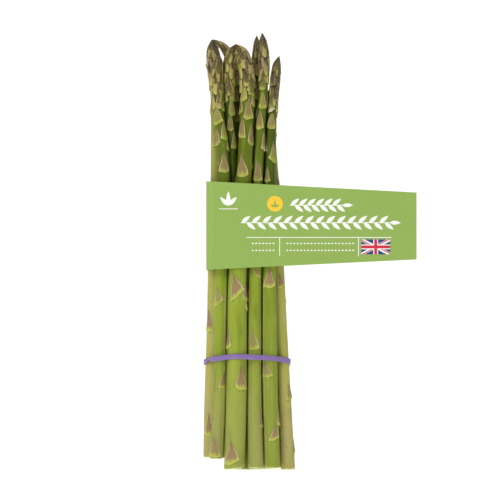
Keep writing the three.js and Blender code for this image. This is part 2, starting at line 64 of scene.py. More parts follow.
# Bracts
GOLDEN_ANGLE = 137.508
FIRST_BRACT = 4.5
FIRST_SCALE = 3
SCALE_STEP = 0.5
SCALE_GROWTH = 0.042
BRACT_STEP_NEAR = 1.05
BRACT_STEP_GROWTH = 0.13
SPARSE_FROM = 64
SPARSE_GROWTH = 0.19
FRONT_ARC = 78
FOOT_CLEAR = 9
BAND_CLEAR = 9
CELL_GAP = 0.1
COVER_MARGIN = 3
CREVICE_REACH = 2.3  # skin nearer than this to another spear gets painted shade high up and is painted paler, a painted highlight, low down
EDGE_REACH = 0.5  # skin this close to another scale leaf's edge gets a painted shadow

# Spears: name, tone (0 is yellow-beige, 1 is deep green), path from the floor to the tip as
# (height, x, y), radii (at the foot, the band, the top of the wrap and in the head), length over
# which the head narrows, height of the cut end, rise of the cut end towards +X, where the spiral
# of bracts starts, and the bracts in sight: height of the lip, angle from the front towards +X,
# width and length.
FRONT = [
    ["front_1", 0.1,
     [[0, -21, -5], [35, -20.4, -4.6], [70, -19.4, -4.2], [106, -18.7, -3.6], [163, -17.4, -2.8],
      [187, -17.2, -2.6], [204, -17.3, -2.3], [220, -18.5, -1.9], [229, -19.2, -1.7], [237, -19.8, -1.6]],
     [3.75, 3.55, 3.2, 3.3], 12, 6.6, 0, 160,
     [[19, -8, 5.6, 10.5], [76.3, -32, 5, 11], [178.6, -2, 5.4, 10], [196, -52, 3.4, 7],
      [202, -30, 4, 10]]],
    ["front_2", 0.55,
     [[0, -17.9, -11.4], [17, -16.4, -10.4], [39, -15.2, -9.8], [70, -15, -9.8], [106, -14.3, -9.8],
      [162, -12.8, -9.7], [181, -14.3, -9.4], [193, -15.6, -9.1], [209, -16.9, -8.7],
      [220, -17.1, -8.4], [228.8, -15.7, -8]],
     [3.7, 3.5, 3.2, 2.5], 13, 6, 0, 100,
     [[7, -10, 7.2, 9.6], [45.4, 28, 4.8, 8], [91.3, -20, 5, 9], [164, 0, 5.8, 10.5],
      [181.7, 40, 4.8, 10], [190.6, -26, 6, 9.5], [199, 17, 4.8, 9.5]]],
    ["front_3", 0.5,
     [[0, -7.7, -12.4], [39, -6.6, -11.8], [76, -6.1, -11.3], [106, -5.9, -10.9], [160, -2.2, -10.1],
      [187, -1, -9.5], [209, -0.3, -9.1], [221, -1, -9], [226.3, -2, -8.9], [230, -3.3, -8.8],
      [234.3, -7, -8.7]],
     [5.7, 5.5, 4.2, 3.6], 14, 0, 0.12, 215,
     [[4, -17, 9, 11], [44.6, 25, 7.4, 11], [67, -62, 5.5, 10], [93.5, 62, 5.5, 9],
      [95.3, -8, 8, 12], [161.4, -15, 6.6, 12], [179.1, 42, 4.8, 12], [182.8, -36, 4.6, 11],
      [193.2, 8, 5.6, 11.5], [196.8, -60, 3.6, 8], [200.4, 60, 3.8, 9], [203.2, -30, 4.8, 10],
      [207.8, 35, 4.4, 10.5], [214, 0, 4.2, 10]]],
    ["front_4", 0.6,
     [[0, 4.6, -12], [39, 3.4, -11.6], [76, 3.4, -11.1], [106, 3.8, -10.7], [164, 5.5, -9.3],
      [181, 6.6, -8.8], [198, 7.7, -8.2], [210, 8.4, -7.6], [223, 8.9, -7], [232, 8.5, -6.5],
      [240.6, 7.8, -6]],
     [4.3, 3.65, 2.9, 2.45], 17, 0.9, 0, 20,
     [[23.5, 52, 4, 7], [66.4, -13, 6.2, 10], [107, 12, 4.6, 4], [159, -5, 5.2, 10],
      [176.9, 48, 4.4, 9.5], [187.6, -22, 4.6, 10.5], [199, 0, 4.4, 10], [210.9, -10, 3.4, 8.5]]],
    ["front_5", 0.75,
     [[0, 13.1, -10.9], [39, 12.2, -10.5], [76, 11.8, -10.1], [106, 11.8, -9.8], [164, 12.2, -8.8],
      [181, 12.7, -8.4], [193, 13, -8], [204, 13.9, -7.6], [214, 14.9, -7], [223, 15.9, -6.4],
      [227.8, 17.2, -6]],
     [4.3, 4.1, 3, 2.15], 13, 0.9, 0, 290,
     [[16.8, 22, 5.6, 8], [51.3, -22, 6, 7], [100.6, 0, 6.6, 10], [158.6, -36, 3.6, 8],
      [169.6, 36, 5, 10], [187.8, 0, 4.8, 10], [200, -34, 3.2, 9.5], [204.6, 25, 3.4, 10],
      [211.8, -8, 3.4, 9]]],
    ["front_6", 0.15,
     [[0, 22, -5.6], [39, 20.2, -5], [76, 18.3, -4.1], [106, 16.9, -3.2], [162, 13.6, -1.8],
      [190, 12.5, -1.1], [213, 13.6, -0.4]],
     [4, 3.25, 3.1, 2.5], 14, 0, 0, 330,
     [[38.7, 50, 4.8, 8], [100.6, 20, 4.2, 7], [195.8, 78, 3.2, 9]]],
]
INNER = [
    ["inner_1", 0.8,
     [[0, -12.6, -3.6], [62, -11.5, -3.4], [108, -10.3, -3.6], [158, -8.3, -4.2], [187, -9.6, -4.5],
      [209, -10.5, -4.7], [221, -10.4, -4.8], [229, -9.4, -5], [234.1, -7.1, -5.4]],
     [3.7, 3.4, 2.9, 2.8], 11, 6.4, 0, 75,
     [[177.2, 38, 4, 10], [187, 0, 3.8, 9], [195.2, 20, 3.8, 11], [202.6, -45, 3.8, 9],
      [206.4, 0, 3.8, 10]]],
    ["inner_2", 0.8,
     [[0, -7.2, 4.7], [62, -6.6, 3.9], [108, -6, 3.4], [158, -5.3, 3.1], [190, -6.1, 3.5],
      [210, -7, 3.9], [222, -8.3, 4.5], [228.5, -10.3, 5], [233.3, -13.9, 5.7], [235, -16.3, 6],
      [237.2, -19.4, 6.3]],
     [3.9, 3.5, 2.9, 2.5], 14, 0, 0, 185,
     [[192, 0, 3.4, 8], [203, 0, 4, 10]]],
    ["inner_3", 0.8,
     [[0, 0, 0], [62, -0.5, -1.4], [108, 0.1, -2.1], [158, 1.7, -2.7], [187, 3.5, -2.6],
      [198, 4.2, -2.1], [210, 4.7, -1.5], [225, 4.9, -0.9], [239.3, 4.8, -0.5]],
     [3.9, 3.4, 2.8, 2.35], 20, 0, 0, 130,
     [[160, 0, 3.4, 12], [204.2, 12, 3.6, 9]]],
]
# Back spears: name, tone, places (x, y) at the back levels, height of the tip, radius at the foot
# and height of the cut end
BACK_LEVELS = [0, 62, 108, 158, 190]
BACK_TAPER = [1, 0.9, 0.78, 0.72]
BACK_HEAD = 13
BACK_TURN = 47
BACK_LEAN = 0.4
BACK = [
    ["back_1", 0.5, [[8.8, -2.6], [8.2, -2.4], [8.2, -2.2], [8.3, -1.2], [8.4, 0.8]], 206, 3.9, 0.6],
    ["back_2", 0.5, [[4.6, 7], [3, 6.6], [2.6, 6.2], [1.6, 5.6], [0.8, 5.8]], 211, 4.1, 0],
    ["back_3", 0.8, [[13.4, 5], [11.2, 5.2], [10, 6.4], [7.2, 9], [6.4, 9.8]], 219, 3.8, 0.5],
    ["back_4", 0.2, [[-15.8, 3.4], [-14.6, 4.2], [-13.6, 4.2], [-12.2, 4.4], [-12.6, 5.2]], 212, 3.8, 6.8],
    ["back_5", 0.5, [[20.2, 3.6], [17.6, 4], [16, 4.8], [12.8, 6], [11.4, 7.4]], 200, 3.7, 0.4],
    ["back_6", 0.5, [[-8.4, 13], [-9, 12], [-8.4, 11.2], [-7.8, 10.2], [-6.8, 10.2]], 232, 4.2, 0],
    ["back_7", 0.8, [[0.6, 15], [-0.6, 13.8], [-0.7, 13], [-0.9, 12.2], [-1, 12.2]], 223, 4, 0.3],
    ["back_8", 0.2, [[10, 14], [8.3, 13.2], [7, 13.4], [5, 15], [4.2, 15.4]], 215, 4, 0],
]


def mix(a, b, t):
    return a + (b - a) * t


def clamp(v, low, high):
    return min(high, max(low, v))


def scatter(n):
    """A repeatable number from 0 to 1 for a whole number."""
    v = math.sin(n * 12.9898 + 4.1) * 43758.5453
    return v - math.floor(v)


def smooth_at(knots, z):
    """A smooth line through knots (z, value): cubic pieces with the slope of the neighbouring knots."""
    last = len(knots) - 1
    i = 0
    while i < last - 1 and z > knots[i + 1][0]:
        i += 1
    z0, v0 = knots[i]
    z1, v1 = knots[i + 1]

    def slope(a, b):
        return (knots[b][1] - knots[a][1]) / (knots[b][0] - knots[a][0])

    span = z1 - z0
    m0 = slope(max(i - 1, 0), i + 1) * span
    m1 = slope(i, min(i + 2, last)) * span
    t = clamp((z - z0) / span, 0, 1)
    t2 = t * t
    t3 = t2 * t
    return (2 * t3 - 3 * t2 + 1) * v0 + (t3 - 2 * t2 + t) * m0 + (3 * t2 - 2 * t3) * v1 + (t3 - t2) * m1


class Level:
    """A spear's place at one height: the chosen one, and how far it has been pushed from it."""

    def __init__(self, z, x, y, radius):
        self.z = z
        self.x = x
        self.y = y
        self.radius = radius
        self.dx = 0.0
        self.dy = 0.0


class Spear:
    """One spear: where it runs, how thick it is, and its bracts."""

    def __init__(self, index, row, held):
        (self.name, self.tone, self.path, self.radii, self.head,
         self.foot, self.slant, self.turn, self.chosen) = row
        self.index = index
        self.held = held
        self.pinned = self.name == "inner_3"
        self.tip = self.path[-1][0]
        self.levels = []
        for k in range(math.ceil(BUNDLE_HEIGHT / LEVEL_STEP) + 1):
            z = min(k * LEVEL_STEP, self.tip)
            self.levels.append(Level(z, *self.chosen_place(z), float(self.radius(z))))
            if z == self.tip:
                break

    def chosen_place(self, z):
        x = smooth_at([(q[0], q[1]) for q in self.path], z)
        y = smooth_at([(q[0], q[2]) for q in self.path], z)
        return x, y

    def radius(self, z):
        """The bare stem's radius at heights z."""
        z = np.asarray(z, float)
        levels = [0, BAND_LEVEL, TAPER_LEVEL, self.tip - HEAD_SPAN]
        left = np.clip(1 - np.maximum(self.tip - z, 0) / self.head, 0, 1)
        return np.interp(z, levels, self.radii) * (1 - left**2) ** HEAD_ROUNDNESS

    def trace(self):
        """Samples the axis after the spears have settled."""
        dx = [(q.z, q.dx) for q in self.levels]
        dy = [(q.z, q.dy) for q in self.levels]
        self.z = np.linspace(0, self.tip, 481)
        chosen = [self.chosen_place(z) for z in self.z]
        self.x = np.array([p[0] + smooth_at(dx, z) for p, z in zip(chosen, self.z)])
        self.y = np.array([p[1] + smooth_at(dy, z) for p, z in zip(chosen, self.z)])
        step = np.hypot(np.hypot(np.diff(self.x), np.diff(self.y)), np.diff(self.z))
        along = np.concatenate([[0], np.cumsum(step)])
        self.s = along[-1] - along
        self.length = float(self.distance(self.foot))

    def distance(self, z):
        """Distance from the tip along the axis, at heights z."""
        return np.interp(z, self.z, self.s)

    def height(self, s):
        """The heights at distances s from the tip."""
        return np.interp(s, self.s[::-1], self.z[::-1])

    def axis(self, z):
        return np.stack([np.interp(z, self.z, self.x), np.interp(z, self.z, self.y), z], -1)

    def place(self, z, angle, out, level=False):
        """Points near the axis: angle in radians from the front towards +X, out from the axis."""
        z, angle, out = np.broadcast_arrays(*(np.asarray(v, float) for v in (z, angle, out)))
        up = self.axis(np.minimum(z + 0.8, self.tip)) - self.axis(z - 0.8)
        up /= np.linalg.norm(up, axis=-1, keepdims=True)
        if level:
            up = np.zeros_like(up)
            up[..., 2] = 1
        side = np.array([1.0, 0, 0]) - up * up[..., :1]
        side /= np.linalg.norm(side, axis=-1, keepdims=True)
        ahead = np.cross(side, up)
        across = side * (np.sin(angle) * out)[..., None]
        return self.axis(z) + across + ahead * (np.cos(angle) * out)[..., None]

    def beyond(self, points):
        """How far points are outside the bare stem."""
        z = np.clip(points[:, 2], self.foot, self.tip)
        axis = self.axis(z)
        across = np.hypot(points[:, 0] - axis[:, 0], points[:, 1] - axis[:, 1])
        return np.hypot(across, points[:, 2] - z) - self.radius(z)


def settle(spears):
    """Pushes the spears apart at every level until their stems clear each other."""
    pairs = [(a, b) for i, a in enumerate(spears) for b in spears[i + 1:]]
    for turn in range(SETTLE_ROUNDS):
        for k in range(math.ceil(BUNDLE_HEIGHT / LEVEL_STEP) + 1):
            for a, b in pairs:
                push_apart(a, b, k)
        if turn < SETTLE_ROUNDS - PUSH_ONLY_ROUNDS:
            for spear in spears:
                smooth_levels(spear)


def push_apart(a, b, k):
    if k >= len(a.levels) or k >= len(b.levels):
        return
    p = a.levels[k]
    q = b.levels[k]
    dx = q.x + q.dx - p.x - p.dx
    dy = q.y + q.dy - p.y - p.dy
    reach = p.radius + q.radius + SPEAR_GAP
    if abs(dx) > reach or abs(dy) > reach or abs(p.z - q.z) > LEVEL_STEP / 2:
        return
    distance = math.hypot(dx, dy) or 0.001
    if distance >= reach:
        return
    step = (reach - distance) * PUSH / distance
    for spear, place, way in ((a, p, -1), (b, q, 1)):
        if spear.pinned and k == 0:
            continue
        place.dx += way * dx * step * (HELD_GIVE if spear.held else 1)
        place.dy += way * dy * step


def smooth_levels(spear):
    """Spreads the pushes a little along the spear, so that they leave no kinks."""
    before = [(q.dx, q.dy) for q in spear.levels]
    for k in range(1, len(before) - 1):
        level = spear.levels[k]
        level.dx = mix(level.dx, (before[k - 1][0] + before[k + 1][0]) / 2, SMOOTHING)
        level.dy = mix(level.dy, (before[k - 1][1] + before[k + 1][1]) / 2, SMOOTHING)


def all_spears():
    rows = [(row, True) for row in FRONT + INNER]
    for i, (name, tone, places, tip, radius, foot) in enumerate(BACK):
        path = [[z, x, y] for z, (x, y) in zip(BACK_LEVELS, places)]
        path.append([tip, places[-1][0], places[-1][1] + BACK_LEAN])
        radii = [radius * share for share in BACK_TAPER]
        rows.append(([name, tone, path, radii, BACK_HEAD, foot, 0, BACK_TURN * i, []], False))
    spears = [Spear(i, row, held) for i, (row, held) in enumerate(rows)]
    settle(spears)
    for spear in spears:
        spear.trace()
    return spears


class Skin:
    """Collects grids of points into one mesh, with the facts its material reads at each point."""

    def __init__(self):
        self.points = []
        self.faces = []
        self.leaf = []
        self.chance = []
        self.owner = []
        self.count = 0

    def add(self, points, faces, leaf, chance, owner=-1):
        points = np.asarray(points, float).reshape(-1, 3)
        self.faces += [tuple(c + self.count for c in face) for face in faces]
        self.points.append(points)
        self.leaf.append(np.broadcast_to(leaf, (len(points), 3)))
        self.chance.append(np.broadcast_to(chance, (len(points),)))
        self.owner.append(np.full(len(points), owner))
        self.count += len(points)


def grid_faces(rows, columns, closed=False, start=0, flip=False):
    """Quads of a grid of points, row by row; closed joins the last column to the first."""
    faces = []
    for i in range(rows - 1):
        for j in range(columns if closed else columns - 1):
            k = (j + 1) % columns
            a, b = start + i * columns + j, start + i * columns + k
            c, d = b + columns, a + columns
            faces.append((a, d, c, b) if flip else (a, b, c, d))
    return faces


def make_object(name, points, faces, materials, facts=(), sharp=50, kinds=None):
    """A smooth mesh object in metres from points in millimetres; kinds picks each face's material."""
    mesh = bpy.data.meshes.new(name)
    mesh.from_pydata((np.asarray(points) * MM).tolist(), [], faces)
    for label, values in facts:
        layer = mesh.attributes.new(label, "FLOAT_VECTOR", "POINT")
        layer.data.foreach_set("vector", np.asarray(values, np.float32).reshape(-1))
    for material in materials:
        mesh.materials.append(material)
    if kinds is not None:
        mesh.polygons.foreach_set("material_index", kinds)
    mesh.shade_smooth()
    mesh.set_sharp_from_angle(angle=math.radians(sharp))
    mesh.validate()
    piece = bpy.data.objects.new(name, mesh)
    bpy.context.scene.collection.objects.link(piece)
    return piece


def finish_piece(piece, node):
    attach(piece, "root")
    if node:
        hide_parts(node)


# Material nodes

def linear(red, green, blue):
    """A colour from its usual 0 to 255 values."""
    found = []
    for v in (red, green, blue):
        v /= 255
        found.append(v / 12.92 if v <= 0.04045 else ((v + 0.055) / 1.055) ** 2.4)
    return (*found, 1)


class Graph:
    """A material and short ways to add nodes to it."""

    def __init__(self, name):
        self.material = bpy.data.materials.new(name)
        self.material.use_nodes = True
        self.tree = self.material.node_tree
        self.tree.nodes.clear()
        self.shader = self.node("ShaderNodeBsdfPrincipled", {})
        out = self.node("ShaderNodeOutputMaterial", {"Surface": self.shader.outputs[0]})
        out.target = "ALL"

    def node(self, kind, inputs, **settings):
        node = self.tree.nodes.new(kind)
        for name, value in settings.items():
            setattr(node, name, value)
        self.set(node, inputs)
        return node

    def set(self, node, inputs):
        for name, value in inputs.items():
            if isinstance(value, bpy.types.NodeSocket):
                self.tree.links.new(value, node.inputs[name])
            else:
                node.inputs[name].default_value = value

    def math(self, operation, a, b):
        return self.node("ShaderNodeMath", {0: a, 1: b}, operation=operation).outputs[0]

    def between(self, value, low, high, to_low=0.0, to_high=1.0):
        """value from low to high, smoothly turned into to_low to to_high."""
        node = self.node("ShaderNodeMapRange", {
            "Value": value, "From Min": low, "From Max": high, "To Min": to_low, "To Max": to_high,
        }, interpolation_type="SMOOTHSTEP")
        return node.outputs[0]

    def blend(self, share, a, b):
        node = self.node("ShaderNodeMix", {0: share, 6: a, 7: b}, data_type="RGBA")
        return node.outputs[2]

    def fact(self, name):
        """The three parts of a fact stored at the mesh's points."""
        read = self.node("ShaderNodeAttribute", {}, attribute_name=name)
        parts = self.node("ShaderNodeSeparateXYZ", {0: read.outputs["Vector"]})
        return parts.outputs

    def stretched(self, x, y, z):
        place = self.node("ShaderNodeTexCoord", {}).outputs["Object"]
        node = self.node("ShaderNodeVectorMath", {0: place, 1: (x, y, z)}, operation="MULTIPLY")
        return node.outputs[0]

    def noise(self, vector, detail=3.0, rough=0.5):
        node = self.node("ShaderNodeTexNoise", {
            "Vector": vector, "Scale": 1.0, "Detail": detail, "Roughness": rough})
        return node.outputs["Fac"]

    def bump(self, height, strength, depth):
        node = self.node("ShaderNodeBump", {
            "Height": height, "Strength": strength, "Distance": depth})
        self.set(self.shader, {"Normal": node.outputs[0]})


STEM_LOW = linear(151, 162, 60)
STEM_MIDDLE = linear(140, 158, 38)
STEM_HIGH = linear(92, 108, 2)
STEM_PALE = linear(179, 171, 92)
# The next colour is a painted highlight: low down, skin next to another spear is painted this paler colour
STEM_RIM_LIGHT = linear(206, 206, 136)
STEM_DEEP = linear(62, 84, 2)
STEM_BLOOM = linear(176, 184, 100)
STEM_SPECK = linear(136, 108, 58)
STEM_MAUVE = linear(172, 156, 118)
STEM_FADED = linear(160, 146, 104)
# The next colour is painted shade: the dark stem under the head's scale leaves
HEAD_GAP_SHADE = linear(38, 32, 14)
# The next colour is painted shade: the near-black put into the shadows beside other scale leaves' edges
# and between the spears high up
PAINTED_SHADE = linear(14, 15, 4)
BRACT_ROOT = linear(186, 192, 82)
BRACT_BROWN = linear(150, 126, 88)
BRACT_MAUVE = linear(132, 104, 84)
BRACT_HIGH = linear(132, 116, 64)
BRACT_RIM = linear(208, 198, 142)
BRACT_DRY = linear(206, 194, 176)
SCALE_ROOT = linear(180, 182, 78)
SCALE_ROOT_HIGH = linear(176, 162, 90)
SCALE_OLIVE = linear(174, 156, 88)
SCALE_BROWN = linear(152, 132, 94)
SCALE_TIP = linear(72, 56, 44)
SCALE_MAUVE = linear(164, 142, 116)
SCALE_RIM = linear(206, 192, 132)
CUT_FLESH = linear(208, 210, 156)
CUT_FIBRE = linear(170, 178, 104)
WAX = linear(216, 222, 180)


def asparagus():
    g = Graph("asparagus_skin")
    is_leaf, up, side = g.fact("leaf")
    height, tone, head = g.fact("where")
    cut, chance, age = g.fact("mark")
    streaks = g.noise(g.stretched(1100, 1100, 30), 4.0, 0.6)
    patches = g.noise(g.stretched(150, 150, 40), 3.0)
    grain = g.noise(g.stretched(2600, 2600, 700), 2.0)

    stem = g.blend(g.between(height, 0.1, 0.5), STEM_LOW, STEM_MIDDLE)
    stem = g.blend(g.between(height, 0.5, 0.78), stem, STEM_HIGH)
    low = g.between(height, 0.15, 0.75, 1.0, 0.6)
    pale = g.math("MULTIPLY", g.between(tone, 0.0, 0.5, 1.0, 0.0), low)
    stem = g.blend(pale, stem, STEM_PALE)
    greens = g.between(tone, 0.45, 0.8, 0.0, 0.85)
    deep = g.math("MULTIPLY", greens, g.between(height, 0.5, 0.75, 0.25, 1.0))
    stem = g.blend(deep, stem, STEM_DEEP)
    stem = g.blend(g.between(streaks, 0.5, 0.75, 0.0, 0.16), stem, STEM_BLOOM)
    stem = g.blend(g.between(patches, 0.5, 0.75, 0.0, 0.3), stem, STEM_BLOOM)
    stem = g.blend(g.between(patches, 0.48, 0.25, 0.0, 0.35), stem, STEM_DEEP)
    stem = g.blend(g.between(streaks, 0.5, 0.25, 0.0, 0.2), stem, STEM_DEEP)
    near_foot = g.between(height, 0.26, 0.06)
    stem = g.blend(g.math("MULTIPLY", near_foot, g.math("MULTIPLY", age, 0.9)), stem, STEM_FADED)
    yellow = g.between(tone, 0.4, 0.12)
    aged = g.math("MULTIPLY", near_foot, yellow)
    stem = g.blend(g.math("MULTIPLY", aged, g.between(patches, 0.45, 0.7, 0.0, 0.6)), stem, STEM_MAUVE)
    specks = g.between(g.noise(g.stretched(1300, 1300, 600), 2.0), 0.6, 0.68, 0.0, 0.65)
    stem = g.blend(g.math("MULTIPLY", specks, aged), stem, STEM_SPECK)
    # Painted shade: the stem under the head's scale leaves is painted dark, for the shaded gaps between
    # them
    stem = g.blend(g.between(head, 0.35, 0.75, 0.0, 0.9), stem, HEAD_GAP_SHADE)

    varied = g.math("ADD", up, g.math("MULTIPLY", g.math("SUBTRACT", streaks, 0.5), 0.5))
    bract = g.blend(g.between(varied, -0.02, 0.25), BRACT_ROOT, BRACT_BROWN)
    bract = g.blend(g.between(height, 0.45, 0.85, 0.0, 0.75), bract, BRACT_HIGH)
    bract = g.blend(g.between(varied, -0.02, 0.25, 0.6, 0.0), bract, BRACT_ROOT)
    bract = g.blend(g.between(varied, 0.4, 1.0, 0.0, 0.8), bract, BRACT_MAUVE)
    greener = g.math("MULTIPLY", g.between(chance, 0.55, 1.0, 0.0, 0.5), g.between(side, 0.9, 0.2))
    bract = g.blend(greener, bract, STEM_MIDDLE)
    rim = g.math("MULTIPLY", g.between(side, 0.72, 0.95), g.between(up, 0.98, 0.6))
    bract = g.blend(g.math("MULTIPLY", rim, 0.75), bract, BRACT_RIM)
    bract = g.blend(g.between(chance, 1.2, 1.8), bract, BRACT_DRY)

    brown = g.blend(age, SCALE_OLIVE, SCALE_BROWN)
    root = g.blend(g.between(head, 0.55, 0.95, 0.0, 0.85), SCALE_ROOT, SCALE_ROOT_HIGH)
    scale = g.blend(g.between(varied, 0.0, 0.28), root, brown)
    tip = g.math("MULTIPLY", g.between(varied, 0.32, 0.85), g.between(age, 0.0, 1.0, 0.55, 0.95))
    scale = g.blend(tip, scale, SCALE_TIP)
    scale = g.blend(g.math("MULTIPLY", g.between(side, 0.6, 0.95), 0.3), scale, root)
    scale = g.blend(g.between(chance, 0.55, 1.0, 0.0, 0.55), scale, root)
    scale = g.blend(g.between(chance, 0.4, 0.0, 0.0, 0.4), scale, SCALE_MAUVE)
    edge_line = g.math("MULTIPLY", g.between(side, 0.7, 0.98), g.between(up, 0.75, 0.4, 0.0, 0.5))
    scale = g.blend(edge_line, scale, SCALE_RIM)
    leaf = g.blend(g.between(head, 0.15, 0.6), bract, scale)
    skin = g.blend(is_leaf, stem, leaf)
    shade_and_rim, edge, _ = g.fact("shade_and_rim")
    # Painted shadow: near-black where another scale leaf's edge lies just above or beside, strong on the
    # head and weak lower down
    under = g.math("MULTIPLY", g.between(edge, 0.15, 0.85), g.between(head, 0.1, 0.6, 0.25, 0.97))
    skin = g.blend(under, skin, PAINTED_SHADE)
    # Painted highlight: low down, skin close to another spear is painted paler, standing in for lighter
    # rims
    rim_highlight = g.math("MULTIPLY", g.between(shade_and_rim, 0.0, 0.35, 0.0, 0.5), g.between(height, 0.5, 0.42))
    skin = g.blend(g.math("MULTIPLY", rim_highlight, g.between(is_leaf, 0.5, 0.0)), skin, STEM_RIM_LIGHT)
    # Painted shade: near-black where the skin lies close to another spear, in the upper half
    gap_shade = g.math("MULTIPLY", g.between(shade_and_rim, 0.1, 0.8, 0.0, 0.95), g.between(height, 0.45, 0.65))
    skin = g.blend(gap_shade, skin, PAINTED_SHADE)

    fibres = g.node("ShaderNodeTexVoronoi", {
        "Vector": g.stretched(2200, 2200, 40), "Scale": 1.0}).outputs["Distance"]
    flesh = g.blend(g.between(fibres, 0.12, 0.3, 1.0, 0.0), CUT_FLESH, CUT_FIBRE)
    skin = g.blend(cut, skin, flesh)

    rough = g.between(patches, 0.3, 0.7, 0.36, 0.5)
    rough = g.math("ADD", rough, g.math("MULTIPLY", is_leaf, 0.12))
    g.set(g.shader, {
        "Base Color": skin, "Roughness": rough, "IOR": 1.42,
        "Specular IOR Level": 0.28,
        "Sheen Weight": 0.05, "Sheen Roughness": 0.25, "Sheen Tint": WAX,
    })
    relief = g.math("ADD", g.math("MULTIPLY", streaks, 0.7), g.math("MULTIPLY", grain, 0.3))
    g.bump(relief, 0.35, 0.0003)
    return g.material


RUBBER_PURPLE = linear(125, 100, 158)
RUBBER_LIGHT = linear(150, 126, 192)


def rubber():
    g = Graph("purple_rubber")
    cloud = g.noise(g.stretched(220, 220, 500), 3.0)
    grain = g.noise(g.stretched(5200, 5200, 5200), 2.0)
    colour = g.blend(g.between(cloud, 0.4, 0.75, 0.0, 0.5), RUBBER_PURPLE, RUBBER_LIGHT)
    g.set(g.shader, {
        "Base Color": colour, "Roughness": g.between(cloud, 0.3, 0.7, 0.5, 0.62),
        "Sheen Weight": 0.15, "Sheen Roughness": 0.4,
    })
    g.bump(grain, 0.25, 0.0002)
    return g.material


CARD_GREEN = linear(140, 171, 76)
CARD_WORN = linear(148, 178, 85)
CARD_WHITE = linear(244, 245, 238)
CARD_RAW = linear(226, 224, 208)
# Inks: the main colour and the one that mottles it
WHITE_INK = (CARD_WHITE, linear(236, 240, 226))
YELLOW_INK = (linear(246, 200, 40), linear(240, 190, 60))
BLUE_INK = (linear(14, 56, 122), linear(24, 66, 132))
RED_INK = (linear(208, 22, 54), linear(198, 34, 64))
CARD_ROUGH = 0.42
INK_ROUGH = 0.45
RAW_ROUGH = 0.7


def card(name, colour, other, rough):
    """Card or ink with a fine paper grain."""
    g = Graph(name)
    cloud = g.noise(g.stretched(60, 60, 60), 3.0)
    grain = g.noise(g.stretched(3200, 3200, 3200), 3.0, 0.6)
    mottled = g.blend(g.between(cloud, 0.35, 0.75, 0.0, 0.25), colour, other)
    g.set(g.shader, {
        "Base Color": mottled, "Roughness": g.between(grain, 0.2, 0.8, rough, rough + 0.1),
        "Coat Weight": 0.08, "Coat Roughness": 0.35,
    })
    g.bump(grain, 0.12, 0.0001)
    return g.material


# Spears as fine meshes

STEM_SIDES = 40
STEM_STEP = 1.7
# Rings of the cut end: share of the radius and rise above the foot
CUT_RINGS = ((0.99, 1.5), (0.962, 0.75), (0.9, 0.25), (0.8, 0.05), (0.5, 0.12), (0.2, 0.08))
CUT_SKIN = 2  # so many of these rings still have skin
CUT_RAGGED = 0.35
SWELLING = 0.28  # of the stem under a bract
SWELLING_LENGTH = 2.6
SWELLING_TURN = 0.75
SLANT_SPAN = 12  # length over which a slanted cut end fades out
LEAST_HALF_WIDTH = 0.05
ROOT_DEPTH = 0.1  # a scale leaf's inside stays this far from the spear's axis
BRACT_GRID = (11, 12)
SCALE_GRID = (9, 15)
BRACT_LIFTS = (0.72, 0.36, 0.12)  # at the lip, the middle and the point
SCALE_LIFTS = (0.8, 0.75, 0.65)
APEX_SPAN = 4.5  # lifts shrink over this length at the very tip
APEX_LIFT = 0.12
TORN = 2.0  # marks a dry, torn bract for the material
CHOSEN_WIDER = 1.12
CHOSEN_LONGER = 1.06
CHOSEN_SEEDS = 3000
LOOSE_SEEDS = 4500
SCALE_SEEDS = 6000
# How faded each spear is at the foot, and how brown at the head
AGES = {
    "front_1": (0.35, 0.95), "front_2": (0.5, 0.12), "front_3": (0.22, 0.35),
    "front_4": (0.4, 1.0), "front_5": (0.0, 0.85), "front_6": (0.3, 0.8),
    "inner_1": (0.2, 0.1), "inner_2": (0.2, 0.7), "inner_3": (0.2, 0.55),
}
BACK_AGES = (0.25, 0.5)
# How much the right end of each chosen bract's lip is higher than the left, as a share of its width
LIP_SLOPES = {
    "front_1": [0, 0.05, 0.4, 0, 0],
    "front_2": [-0.05, 0.15, 0.7, 0, -0.1, 0.25, 0],
    "front_3": [0.33, -0.1, 0.3, -0.2, 0.75, 0.1, -0.3, -0.15, 0, 0, -0.3, 0.3, -0.25, -0.1],
    "front_4": [0, 0.1, -0.7, 0, 0.2, 0, 0, -0.2],
    "front_5": [0.35, 0.1, 0.1, 0, -0.5, -0.15, 0, -0.2, -0.2],
    "front_6": [0.2, 0.5, -0.3],
}
# How far some chosen bracts' points are off to the right, in mm
BOWS = {
    "front_1": {1: -1.2}, "front_2": {0: -1.6, 1: 1.2, 2: -1.6},
    "front_3": {0: -0.8, 4: -2.2, 5: -1.7}, "front_4": {1: -0.4},
    "front_5": {0: 1.8, 1: -1.8}, "front_6": {1: -1.2},
}
